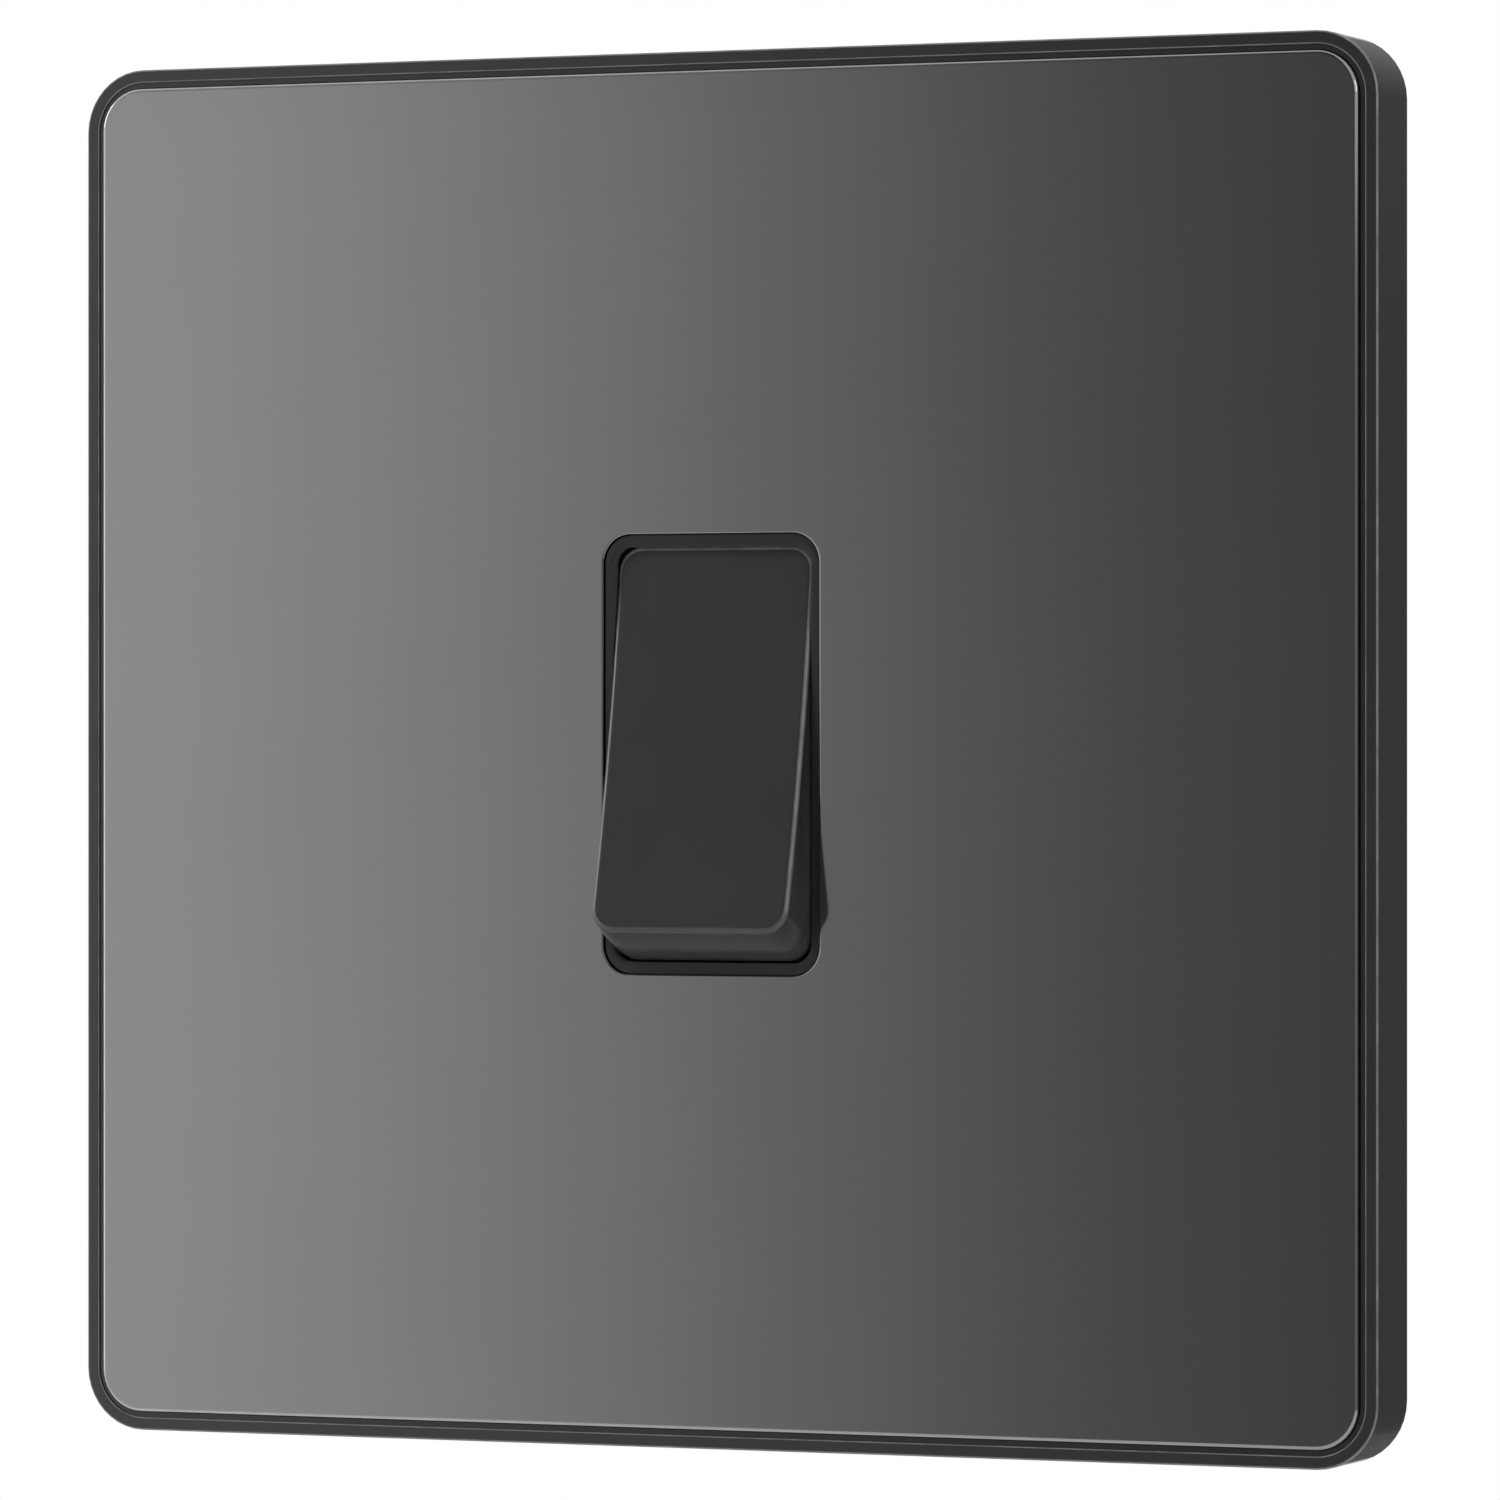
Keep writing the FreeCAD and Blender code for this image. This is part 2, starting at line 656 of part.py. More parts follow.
# ---- straps and fixed contacts ----
def fulcrum():
    """Edge that the see-saw rocks on: a round nose on a tapered web."""
    half = common_width / 2
    nose = axle(fulcrum_radius, (-half, half), fulcrum_y, pivot_z)
    neck = fulcrum_y + fulcrum_neck
    back = fulcrum_y + common_rise
    outline = [(fulcrum_y, fulcrum_radius), (neck, fulcrum_radius), (back, 2 * fulcrum_radius)]
    outline += [(back, -2 * fulcrum_radius), (neck, -fulcrum_radius), (fulcrum_y, -fulcrum_radius)]
    web = prism(side_view([(y, pivot_z + z) for y, z in outline], -half), across * common_width)
    return nose.fuse(web)


def common_strap():
    """Strap under the fulcrum, which steps back and runs to the common terminal."""
    half = common_width / 2
    low_z = pivot_z - half
    high = fulcrum_y + common_rise
    low = deck_y - common_thickness
    outer = -terminal_x - half
    path = [Vector(half, high, low_z), Vector(-common_reach, high, low_z)]
    path += [Vector(-common_reach - common_step, low, low_z), Vector(outer, low, low_z)]
    strip = bent_strip(path, common_thickness, Vector(0, 0, common_width))
    foot = -terminal_z - terminal_height / 2 + strap_margin
    arm = cuboid((outer, outer + common_width), (low, deck_y), (foot, pivot_z))
    return strip.fuse([arm, fulcrum()]).removeSplitter()


def way_strap(side):
    """Flat strap from one fixed contact to its terminal."""
    middle = pivot_z + side * closed_z
    bar_end = terminal_x - terminal_width / 2 + strap_margin
    near = middle - side * way_width / 2
    far = side * (terminal_z + terminal_height / 2 - strap_margin)
    foot_end = terminal_x + terminal_width / 2 - strap_margin
    bar = cuboid((-way_width / 2, bar_end), (way_face, deck_y), (near, near + side * way_width))
    foot = cuboid((bar_end, foot_end), (way_face, deck_y), (near, far))
    return bar.fuse(foot).removeSplitter()


def fixed_contact_tips():
    """Flat contacts, which the domed ones of the see-saw close on."""
    face = way_face - fixed_tip_height
    places = [pivot_z + side * closed_z for side in (bottom, top)]
    return Part.makeCompound([rod(fixed_tip_radius, face, way_face, 0, z) for z in places])


def earth_strap():
    """Springy leaf from the earth terminal forward to the metal's back."""
    foot = deck_y - leaf_thickness
    crest = plate_back + leaf_gap
    points = [(foot, terminal_z + terminal_height / 2 - strap_margin), (foot, leaf_root)]
    points += [(web_back + leaf_lift, leaf_root), (crest, leaf_crest)]
    points += [(crest + leaf_lift, leaf_crest + leaf_tail)]
    path = side_view(points, -terminal_x - leaf_width / 2)
    return bent_strip(path, leaf_thickness, across * leaf_width)


# ---- see-saw ----
def guide_flange(side):
    """Folded edge of the see-saw, bevelled at its front corners."""
    outer = side * seesaw_width / 2
    base = fulcrum_y - seesaw_thickness
    ends = (pivot_z - flange_length / 2, pivot_z + flange_length / 2)
    flange = cuboid((outer, outer - side * flange_thickness), (base - flange_height, base), ends)
    front = edges_on_plane(flange, base - flange_height, 2 * seesaw_width, 2 * flange_length)
    return flange.makeChamfer(flange_height / 2, [edge for edge in front if edge.BoundBox.ZLength < hair])


def moving_contact():
    """Channel-shaped see-saw with a groove across its back for the fulcrum."""
    half = seesaw_width / 2
    length = 2 * (contact_arm + contact_margin)
    bar = slab(seesaw_width, length, seesaw_corner, fulcrum_y - seesaw_thickness, fulcrum_y, z=pivot_z)
    groove = axle(fulcrum_radius + fulcrum_clearance, (-half, half), fulcrum_y, pivot_z)
    return seesaw_at_rest(bar.fuse([guide_flange(left), guide_flange(right)]).cut(groove).removeSplitter())


def domed_contact(side):
    """Contact whose face is part of a sphere."""
    z = pivot_z + side * contact_arm
    crown = fulcrum_y + moving_tip_height
    ball = Part.makeSphere(contact_crown, Vector(0, crown - contact_crown, z))
    return rod(moving_tip_radius, fulcrum_y, crown, 0, z).common(ball)


def moving_contact_tips():
    return seesaw_at_rest(Part.makeCompound([domed_contact(side) for side in (bottom, top)]))


# ---- rocker ----
def rocker_form(inset, back, x_ends):
    """The rocker's side view, inset evenly: a hollow face between ends that are arcs round the pivot."""
    ends = rocker_radius - inset
    face = face_radius + inset
    forward = (face_centre ** 2 + ends ** 2 - face ** 2) / (2 * face_centre)
    corner = math.sqrt(ends ** 2 - forward ** 2)
    middle = math.atan2(forward, corner) / 2
    bow_y, bow_z = ends * math.sin(middle), ends * math.cos(middle)

    def point(ahead, up):
        return Vector(x_ends[0], pivot_y - ahead, pivot_z + up)

    hollow = Part.Arc(point(forward, -corner), point(face_centre - face, 0), point(forward, corner))
    upper = Part.Arc(point(forward, corner), point(bow_y, bow_z), point(0, ends))
    lower = Part.Arc(point(0, -ends), point(bow_y, -bow_z), point(forward, -corner))
    open_side = Part.makePolygon([point(0, ends), point(-back, ends), point(-back, -ends), point(0, -ends)])
    outline = Part.Wire([hollow.toShape(), upper.toShape(), open_side, lower.toShape()])
    return Part.Face(outline).extrude(across * (x_ends[1] - x_ends[0]))


def has_radius(piece, radius):
    """Whether an edge or a face is round, with this radius."""
    form = piece.Curve if piece.ShapeType == "Edge" else piece.Surface
    return abs(getattr(form, "Radius", 0) - radius) < hair


def rocker_cap():
    """Outer form of the rocker, with its corners and the rim of its face bevelled."""
    cap = rocker_form(0, rocker_skirt, (-rocker_width / 2, rocker_width / 2))
    corners = [edge for edge in cap.Edges if has_radius(edge, rocker_radius) or runs_inward(edge)]
    cap = cap.makeChamfer(rocker_corner, corners)
    face = [side for side in cap.Faces if has_radius(side, face_radius)][0]
    return cap.makeChamfer(rocker_edge, face.OuterWire.Edges)


def rocker_ribs(hollow, inner):
    """Cross-shaped ribs under the face, which meet at the barrel."""
    half = rib_thickness / 2
    front = pivot_y - rocker_radius
    cross = cuboid((-inner, inner), (front, pivot_y), (pivot_z - half, pivot_z + half))
    length = (pivot_z - rocker_radius, pivot_z + rocker_radius)
    spine = cuboid((-half, half), (front, pivot_y - spine_clearance), length)
    return [cross.common(hollow), spine.common(hollow)]


def rocker():
    half = rocker_width / 2
    inner = half - rocker_wall
    hollow = rocker_form(rocker_wall, rocker_skirt + rocker_wall, (-inner, inner))
    under_face = pivot_y - (face_centre - face_radius) + rocker_wall / 2
    adds = rocker_ribs(hollow, inner)
    adds.append(rod(barrel_radius, under_face, pivot_y + barrel_back, 0, pivot_z))
    for side in (left, right):
        adds.append(axle(ear_radius, (side * inner, side * half), pivot_y, pivot_z))
        adds.append(axle(trunnion_radius, (side * inner, side * (half + trunnion_reach)), pivot_y, pivot_z))
    bore = rod(barrel_bore, pivot_y - barrel_front, pivot_y + barrel_back, 0, pivot_z)
    return at_rest(rocker_cap().cut(hollow).fuse(adds).cut(bore).removeSplitter())


# ---- plunger and its spring ----
def plunger():
    """Stepped pin: a spigot in the spring, a head that slides in the barrel, and a shank with a round tip."""
    head = barrel_bore - plunger_clearance
    shoulder = pivot_y + plunger_shoulder
    head_end = pivot_y + barrel_back + plunger_stand
    tip = pivot_y + plunger_reach
    ball = Part.makeSphere(plunger_crown, Vector(0, tip - plunger_crown, pivot_z))
    shank = rod(plunger_shank, shoulder, tip, 0, pivot_z)
    shank = shank.common(ball.fuse(rod(plunger_crown, shoulder, tip - plunger_crown, 0, pivot_z)))
    steps = [rod(head, shoulder, head_end, 0, pivot_z)]
    steps.append(rod(spigot_radius, shoulder - spigot_length, shoulder, 0, pivot_z))
    return at_rest(shank.fuse(steps).removeSplitter())


def plunger_spring():
    """Coil of square wire in short straight lengths."""
    start = pivot_y - barrel_front + spring_gap + spring_wire / 2
    length = pivot_y + plunger_shoulder - spring_gap - spring_wire / 2 - start
    steps = spring_turns * spring_steps
    path = []
    for step in range(steps + 1):
        angle = 2 * math.pi * step / spring_steps
        path.append(Vector(spring_radius * math.cos(angle), start + length * step / steps,
                           pivot_z + spring_radius * math.sin(angle)))
    outward = (path[0] - Vector(0, start, pivot_z)).normalize()
    beside = (path[1] - path[0]).cross(outward).normalize()
    outward = beside.cross(path[1] - path[0]).normalize()
    half = spring_wire / 2
    corners = [path[0] + outward * (half * a) + beside * (half * b) for a, b in unit_square]
    section = Part.makePolygon(corners + corners[:1])
    return at_rest(Part.makePolygon(path).makePipeShell([section], True, True, 1))


# ---- the separate pieces, one file each ----
pieces = {
    "front_plate": front_plate(),
    "plate_frame": plate_frame(),
    "clip_tongues": clip_tongues(),
    "support_frame": support_frame(),
    "fixing_screws": fixing_screws(),
    "mechanism_housing": mechanism_housing(),
    "housing_screws": housing_screws(),
    "rocker": rocker(),
    "plunger": plunger(),
    "plunger_spring": plunger_spring(),
    "moving_contact": moving_contact(),
    "moving_contact_tips": moving_contact_tips(),
    "common_strap": common_strap(),
    "first_way_strap": way_strap(top),
    "second_way_strap": way_strap(bottom),
    "fixed_contact_tips": fixed_contact_tips(),
    "common_terminal": terminal(left, bottom),
    "first_way_terminal": terminal(right, top),
    "second_way_terminal": terminal(right, bottom),
    "earth_terminal": terminal(left, top),
    "terminal_screws": terminal_screws(),
    "earth_strap": earth_strap(),
}

os.makedirs("parts", exist_ok=True)
for name, shape in pieces.items():
    shape.exportStep(f"parts/{name}.step")
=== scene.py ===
import json
import math

import bmesh
import bpy
from mathutils import Euler, Matrix, Vector


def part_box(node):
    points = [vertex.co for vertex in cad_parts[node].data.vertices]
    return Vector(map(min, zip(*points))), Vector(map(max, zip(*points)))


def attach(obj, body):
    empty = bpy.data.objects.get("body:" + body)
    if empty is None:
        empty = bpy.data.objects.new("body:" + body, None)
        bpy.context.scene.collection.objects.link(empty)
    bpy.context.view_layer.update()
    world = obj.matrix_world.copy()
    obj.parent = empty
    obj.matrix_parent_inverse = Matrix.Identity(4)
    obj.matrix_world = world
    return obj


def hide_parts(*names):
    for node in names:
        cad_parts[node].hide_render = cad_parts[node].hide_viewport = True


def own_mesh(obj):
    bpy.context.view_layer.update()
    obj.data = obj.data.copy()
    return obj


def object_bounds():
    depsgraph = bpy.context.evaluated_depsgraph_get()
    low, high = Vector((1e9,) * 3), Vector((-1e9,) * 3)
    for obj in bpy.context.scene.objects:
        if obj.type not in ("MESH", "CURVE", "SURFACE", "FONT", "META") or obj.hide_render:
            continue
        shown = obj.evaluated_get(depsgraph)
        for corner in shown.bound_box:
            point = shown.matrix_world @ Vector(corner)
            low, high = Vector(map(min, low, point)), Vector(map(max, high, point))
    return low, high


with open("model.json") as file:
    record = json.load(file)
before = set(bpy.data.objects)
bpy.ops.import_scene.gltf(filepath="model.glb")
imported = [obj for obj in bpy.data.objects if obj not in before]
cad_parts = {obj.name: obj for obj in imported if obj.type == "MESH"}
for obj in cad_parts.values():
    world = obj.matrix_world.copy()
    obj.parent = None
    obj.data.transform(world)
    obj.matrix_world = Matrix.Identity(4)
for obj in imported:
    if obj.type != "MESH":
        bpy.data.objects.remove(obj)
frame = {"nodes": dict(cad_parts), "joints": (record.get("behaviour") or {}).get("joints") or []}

cad_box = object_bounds()


# Support frame: the waffle-ribbed plate behind the cover, screwed to the lugs of the wall box.
# Moulded in one shot in grey glass-filled nylon; its walls round the rocker carry the trunnions.

def put(tree, kind, inputs=None, **settings):
    """Adds a shader node. An input given as a socket is linked, and any other value is set on it."""
    made = tree.nodes.new(kind)
    for key, value in settings.items():
        setattr(made, key, value)
    for key, value in (inputs or {}).items():
        if isinstance(value, bpy.types.NodeSocket):
            tree.links.new(value, made.inputs[key])
        else:
            made.inputs[key].default_value = value
    return made


def new_group(name, inputs, outputs):
    """Shader node group with named inputs (kind, value) and outputs (kind)."""
    group = bpy.data.node_groups.new(name, "ShaderNodeTree")
    for label, (kind, value) in inputs.items():
        socket = group.interface.new_socket(label, in_out="INPUT", socket_type="NodeSocket" + kind)
        socket.default_value = value
    for label, kind in outputs.items():
        group.interface.new_socket(label, in_out="OUTPUT", socket_type="NodeSocket" + kind)
    return group, group.nodes.new("NodeGroupInput").outputs, group.nodes.new("NodeGroupOutput").inputs


def mix_colour(tree, factor, first, second):
    """Mix of two colours; each of the three is a socket or a value."""
    made = put(tree, "ShaderNodeMix", data_type="RGBA")
    for key, value in zip((0, 6, 7), (factor, first, second)):
        if isinstance(value, bpy.types.NodeSocket):
            tree.links.new(value, made.inputs[key])
        else:
            made.inputs[key].default_value = value
    return made.outputs[2]


def maths(tree, operation, first, second, clamp=False):
    """Sum on two values; each is a socket or a number."""
    made = put(tree, "ShaderNodeMath", {0: first, 1: second}, operation=operation, use_clamp=clamp)
    return made.outputs[0]


def noise(tree, place, scale, detail):
    """Noise about zero, from -0.5 to 0.5."""
    made = put(tree, "ShaderNodeTexNoise", {"Vector": place, "Scale": scale, "Detail": detail})
    return maths(tree, "SUBTRACT", made.outputs["Fac"], 0.5)


def object_place(tree):
    """Coordinates that stay with a piece as it moves."""
    return put(tree, "ShaderNodeTexCoord").outputs["Object"]


def moulded_surface_group():
    """Skin of a moulding: cloudy tone, fine spark-eroded grain and uneven gloss."""
    group, given, result = new_group(
        "moulded surface",
        {"Colour": ("Color", (0.5, 0.5, 0.5, 1)), "Tone": ("Float", 0.1),
         "Grain per metre": ("Float", 7000.0), "Roughness": ("Float", 0.5), "Gloss spread": ("Float", 0.1)},
        {"Colour": "Color", "Roughness": "Float", "Height": "Float"})
    place = object_place(group)
    cloud = noise(group, place, scale=140.0, detail=4.0)
    grain = noise(group, place, scale=given["Grain per metre"], detail=2.0)
    swing = maths(group, "MULTIPLY", maths(group, "ADD", cloud, grain), given["Tone"])
    scale = maths(group, "ADD", swing, 1.0)
    tone = put(group, "ShaderNodeVectorMath", {0: given["Colour"], "Scale": scale}, operation="SCALE")
    group.links.new(tone.outputs[0], result["Colour"])
    uneven = maths(group, "MULTIPLY", cloud, given["Gloss spread"])
    group.links.new(maths(group, "ADD", given["Roughness"], uneven, clamp=True), result["Roughness"])
    group.links.new(grain, result["Height"])
    return group


def rubbed_edges_group():
    """Mask of the edges that hands and tools rub, broken up along their length."""
    group, given, result = new_group(
        "rubbed edges", {"Width": ("Float", 0.0003), "Strength": ("Float", 1.0)}, {"Mask": "Float"})
    steepness = 6.0              # so that a small bend already counts as an edge
    rounded = put(group, "ShaderNodeBevel", {"Radius": given["Width"]}, samples=6).outputs[0]
    flat = put(group, "ShaderNodeNewGeometry").outputs["Normal"]
    same = put(group, "ShaderNodeVectorMath", {0: rounded, 1: flat}, operation="DOT_PRODUCT")
    bend = maths(group, "SUBTRACT", 1.0, same.outputs["Value"])
    bent = maths(group, "MULTIPLY", bend, steepness, clamp=True)
    patches = noise(group, object_place(group), scale=900.0, detail=3.0)
    broken = put(group, "ShaderNodeMapRange", {"Value": patches, "From Min": -0.15, "From Max": 0.15,
                                               "To Min": 0.35, "To Max": 1.0}).outputs[0]
    strong = maths(group, "MULTIPLY", maths(group, "MULTIPLY", bent, broken), given["Strength"])
    group.links.new(strong, result["Mask"])
    return group


moulded_surface = moulded_surface_group()
rubbed_edges = rubbed_edges_group()


def new_material(name):
    """Material with its node tree and its shader."""
    material = bpy.data.materials.new(name)
    material.use_nodes = True
    return material, material.node_tree, material.node_tree.nodes["Principled BSDF"]


def finish_shader(tree, shader, skin, worn_colour, edge_width, relief):
    """Joins a skin group and worn edges to a shader."""
    edges = put(tree, "ShaderNodeGroup", {"Width": edge_width}, node_tree=rubbed_edges)
    worn = mix_colour(tree, edges.outputs["Mask"], skin.outputs["Colour"], (*worn_colour, 1))
    bump = put(tree, "ShaderNodeBump",
               {"Height": skin.outputs["Height"], "Strength": 1.0, "Distance": relief})
    tree.links.new(worn, shader.inputs["Base Color"])
    tree.links.new(skin.outputs["Roughness"], shader.inputs["Roughness"])
    tree.links.new(bump.outputs[0], shader.inputs["Normal"])


def moulding(name, colour, worn_colour, tone, grain, roughness, gloss_spread, relief, edge_width=0.0003):
    """Plastic with a moulded skin, whose edges are rubbed to another tone."""
    material, tree, shader = new_material(name)
    skin = put(tree, "ShaderNodeGroup",
               {"Colour": (*colour, 1), "Tone": tone, "Grain per metre": grain, "Roughness": roughness,
                "Gloss spread": gloss_spread}, node_tree=moulded_surface)
    finish_shader(tree, shader, skin, worn_colour, edge_width, relief)
    return material


smooth_angle = math.radians(35)  # edges that turn by more stay sharp


def new_piece(name, mesh, material):
    """Object from a bmesh, shaded smooth up to an angle."""
    bmesh.ops.recalc_face_normals(mesh, faces=mesh.faces)
    data = bpy.data.meshes.new(name)
    mesh.to_mesh(data)
    mesh.free()
    data.materials.append(material)
    data.shade_smooth()
    data.set_sharp_from_angle(angle=smooth_angle)
    piece = bpy.data.objects.new(name, data)
    bpy.context.scene.collection.objects.link(piece)
    return piece


def even_normals(piece):
    """Keeps the shading of flat faces flat beside their rounded edges."""
    piece.modifiers.new("flat faces stay flat", "WEIGHTED_NORMAL").keep_sharp = True


def softened(node, name, material, edge):
    """Piece with a CAD node's shape, whose flat faces are whole again and whose edges are rounded."""
    weld, flat_within, edge_from = 1e-6, math.radians(0.5), math.radians(40)
    mesh = bmesh.new()
    mesh.from_mesh(frame["nodes"][node].data)
    bmesh.ops.remove_doubles(mesh, verts=mesh.verts, dist=weld)
    bmesh.ops.dissolve_limit(mesh, angle_limit=flat_within, verts=mesh.verts, edges=mesh.edges)
    piece = new_piece(name, mesh, material)
    bevel = piece.modifiers.new("rounded edges", "BEVEL")
    bevel.width = edge
    bevel.segments = 2
    bevel.limit_method = "ANGLE"
    bevel.angle_limit = edge_from
    bevel.use_clamp_overlap = False
    even_normals(piece)
    return piece


def stands_for(piece, node, body):
    """The piece takes a CAD node's place, whose part is hidden, and moves with its body."""
    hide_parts(node)
    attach(piece, body)


grey_nylon = moulding(
    "grey nylon", colour=(0.17, 0.18, 0.19), worn_colour=(0.24, 0.25, 0.26), tone=0.22, grain=6500.0,
    roughness=0.52, gloss_spread=0.14, relief=0.00002)
support = softened("support_frame", "support", grey_nylon, edge=0.00016)
stands_for(support, "support_frame", "base")


# Fixing screws: two slotted pan-head machine screws that hold the support to the wall box.
# Cold-headed steel with rolled threads and bright plating; a waist keeps them captive in the support.

def metal_surface_group():
    """Worked metal: drawing lines along one way, blotches of tarnish and an uneven gloss."""
    group, given, result = new_group(
        "worked metal",
        {"Colour": ("Color", (0.8, 0.6, 0.3, 1)), "Tarnish": ("Color", (0.5, 0.35, 0.15, 1)),
         "Tarnish share": ("Float", 0.3), "Line stretch": ("Vector", (1.0, 1.0, 12.0)),
         "Roughness": ("Float", 0.3), "Gloss spread": ("Float", 0.2)},
        {"Colour": "Color", "Roughness": "Float", "Height": "Float"})
    place = object_place(group)
    stretch = {0: place, 1: given["Line stretch"]}
    stretched = put(group, "ShaderNodeVectorMath", stretch, operation="MULTIPLY")
    lines = noise(group, stretched.outputs[0], scale=1500.0, detail=4.0)
    blotch = noise(group, place, scale=350.0, detail=6.0)
    share = put(group, "ShaderNodeMapRange", {"Value": blotch, "From Min": -0.08, "From Max": 0.18,
                                              "To Min": 0.0, "To Max": given["Tarnish share"]}).outputs[0]
    group.links.new(mix_colour(group, share, given["Colour"], given["Tarnish"]), result["Colour"])
    uneven = maths(group, "MULTIPLY", maths(group, "ADD", lines, blotch), given["Gloss spread"])
    group.links.new(maths(group, "ADD", given["Roughness"], uneven, clamp=True), result["Roughness"])
    group.links.new(lines, result["Height"])
    return group


worked_metal = metal_surface_group()
metal_wear = 0.00015             # width of a worn edge
metal_gain = 1.12                # how much brighter it is


def metal(name, colour, tarnish, share, stretch, roughness, gloss_spread, relief):
    """Metal finish that shows how the stock was drawn or rolled, with its edges worn bright."""
    material, tree, shader = new_material(name)
    shader.inputs["Metallic"].default_value = 1.0
    skin = put(tree, "ShaderNodeGroup",
               {"Colour": (*colour, 1), "Tarnish": (*tarnish, 1), "Tarnish share": share,
                "Line stretch": stretch, "Roughness": roughness, "Gloss spread": gloss_spread},
               node_tree=worked_metal)
    bright = [min(1.0, metal_gain * level) for level in colour]
    finish_shader(tree, shader, skin, bright, metal_wear, relief)
    return material


def circle(place, along, radius, around=32):
    """Ring of points about an axis; place(along, u, v) gives a point's place."""
    turns = [2 * math.pi * step / around for step in range(around)]
    return [place(along, radius * math.cos(turn), radius * math.sin(turn)) for turn in turns]


def along_y(x, z):
    """Gives the place of points about an axis that runs along y, at x and z."""
    def place(along, u, v):
        return Vector((x + u, along, z + v))
    return place


def thread_rings(place, start, end, core, crest, pitch, around=32, per_turn=8):
    """Rings of a helical thread, which fades out over its first and last turn."""
    count = round(abs(end - start) / pitch * per_turn)
    rings = []
    for step in range(count + 1):
        along = start + (end - start) * step / count
        fade = min(1.0, step / per_turn, (count - step) / per_turn)
        ring = []
        for side in range(around):
            turn = 2 * math.pi * side / around
            flank = abs((step / per_turn - side / around) % 1 * 2 - 1)
            radius = core + (crest - core) * fade * flank
            ring.append(place(along, radius * math.cos(turn), radius * math.sin(turn)))
        rings.append(ring)
    return rings


def skin_over(mesh, rings, closed=False):
    """Quads between rings of equally many points. Returns the rings' vertices."""
    rows = [[mesh.verts.new(point) for point in points] for points in rings]
    pairs = list(zip(rows, rows[1:]))
    if closed:
        pairs.append((rows[-1], rows[0]))
    for first, second in pairs:
        for index in range(len(first)):
            after = (index + 1) % len(first)
            mesh.faces.new((first[index], first[after], second[after], second[index]))
    return rows


def turned(mesh, rings):
    """Closed skin over rings, as turned on a lathe."""
    rows = skin_over(mesh, rings)
    mesh.faces.new(rows[0])
    mesh.faces.new(rows[-1])


def pan_head(place, face, seat, radius, steps=7):
    """Rings of a screw's domed head, from its face to its seat."""
    height = seat - face
    dome, flat = 0.55, 0.5       # shares of the height and of the radius
    rim, trim = 0.05, 0.96       # small bevel round the seat
    rings = []
    for step in range(steps + 1):
        turn = math.pi / 2 * step / steps
        rings.append(circle(place, face + height * dome * (1 - math.cos(turn)),
                            radius * (flat + (1 - flat) * math.sin(turn))))
    rings.append(circle(place, seat - height * rim, radius))
    rings.append(circle(place, seat, radius * trim))
    return rings


def carve(piece, blocks):
    """Cuts blocks, given as matrices of a unit cube, out of a piece."""
    mesh = bmesh.new()
    for block in blocks:
        bmesh.ops.create_cube(mesh, size=1.0, matrix=block)
    cutter = new_piece("cutter", mesh, piece.data.materials[0])
    cut = piece.modifiers.new("cut", "BOOLEAN")
    cut.object = cutter
    cut.operation = "DIFFERENCE"
    cut.solver = "EXACT"
    whole = piece.evaluated_get(bpy.context.evaluated_depsgraph_get())
    carved = bpy.data.meshes.new_from_object(whole)
    piece.modifiers.remove(cut)
    piece.data = carved
    bpy.data.objects.remove(cutter)


def block(middle, size, turn=0.0):
    """Matrix of a unit cube made into a block that is turned about the y axis, in degrees."""
    return Matrix.LocRotScale(Vector(middle), Euler((0, math.radians(turn), 0)), Vector(size))


plated_steel = metal(
    "plated steel", colour=(0.66, 0.65, 0.62), tarnish=(0.45, 0.43, 0.38), share=0.4,
    stretch=(1.0, 8.0, 1.0), roughness=0.28, gloss_spread=0.2, relief=0.000003)

fixing_low, fixing_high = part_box("fixing_screws")
fixing_head = fixing_high.z              # radius
fixing_x = fixing_high.x - fixing_head
fixing_head_height = 0.002
fixing_seat = fixing_low.y + fixing_head_height
fixing_waist, waist_length = 0.0014, 0.0016
fixing_crest, fixing_core, fixing_pitch = 0.00175, 0.0014, 0.0006
thread_start = fixing_seat + waist_length
point_length, point_radius = 0.0005, 0.00105
slot_width, slot_depth = 0.0009, 0.0011
slot_turns = (24.0, -58.0)       # degrees, as each screw happened to stop

fixing_mesh = bmesh.new()
for x in (-fixing_x, fixing_x):
    place = along_y(x, 0)
    rings = pan_head(place, fixing_low.y, fixing_seat, fixing_head)
    rings += [circle(place, y, fixing_waist) for y in (fixing_seat, thread_start)]
    rings += thread_rings(place, thread_start, fixing_high.y - point_length, fixing_core, fixing_crest,
                          fixing_pitch)
    rings += [circle(place, fixing_high.y, point_radius)]
    turned(fixing_mesh, rings)
fixing_screws = new_piece("screws_to_box", fixing_mesh, plated_steel)
fixing_cut = (3 * fixing_head, 2 * slot_depth, slot_width)
carve(fixing_screws, [block((x, fixing_low.y, 0), fixing_cut, turn)
                      for x, turn in zip((-fixing_x, fixing_x), slot_turns)])
stands_for(fixing_screws, "fixing_screws", "base")


# Housing of the mechanism: a drafted cup in white thermoset that holds the terminals in pockets.
# Its flange is screwed to the back of the support, over the locating wall.

white_moulded = moulding(
    "white moulded", colour=(0.72, 0.71, 0.68), worn_colour=(0.80, 0.79, 0.76), tone=0.08, grain=5200.0,
    roughness=0.42, gloss_spread=0.12, relief=0.000015)
housing = softened("mechanism_housing", "housing", white_moulded, edge=0.00018)
stands_for(housing, "mechanism_housing", "base")


# Terminals: four sawn and drilled brass blocks, each with a blind hole for its wire.
# They stand in the pockets of the housing, on the ends of the straps.

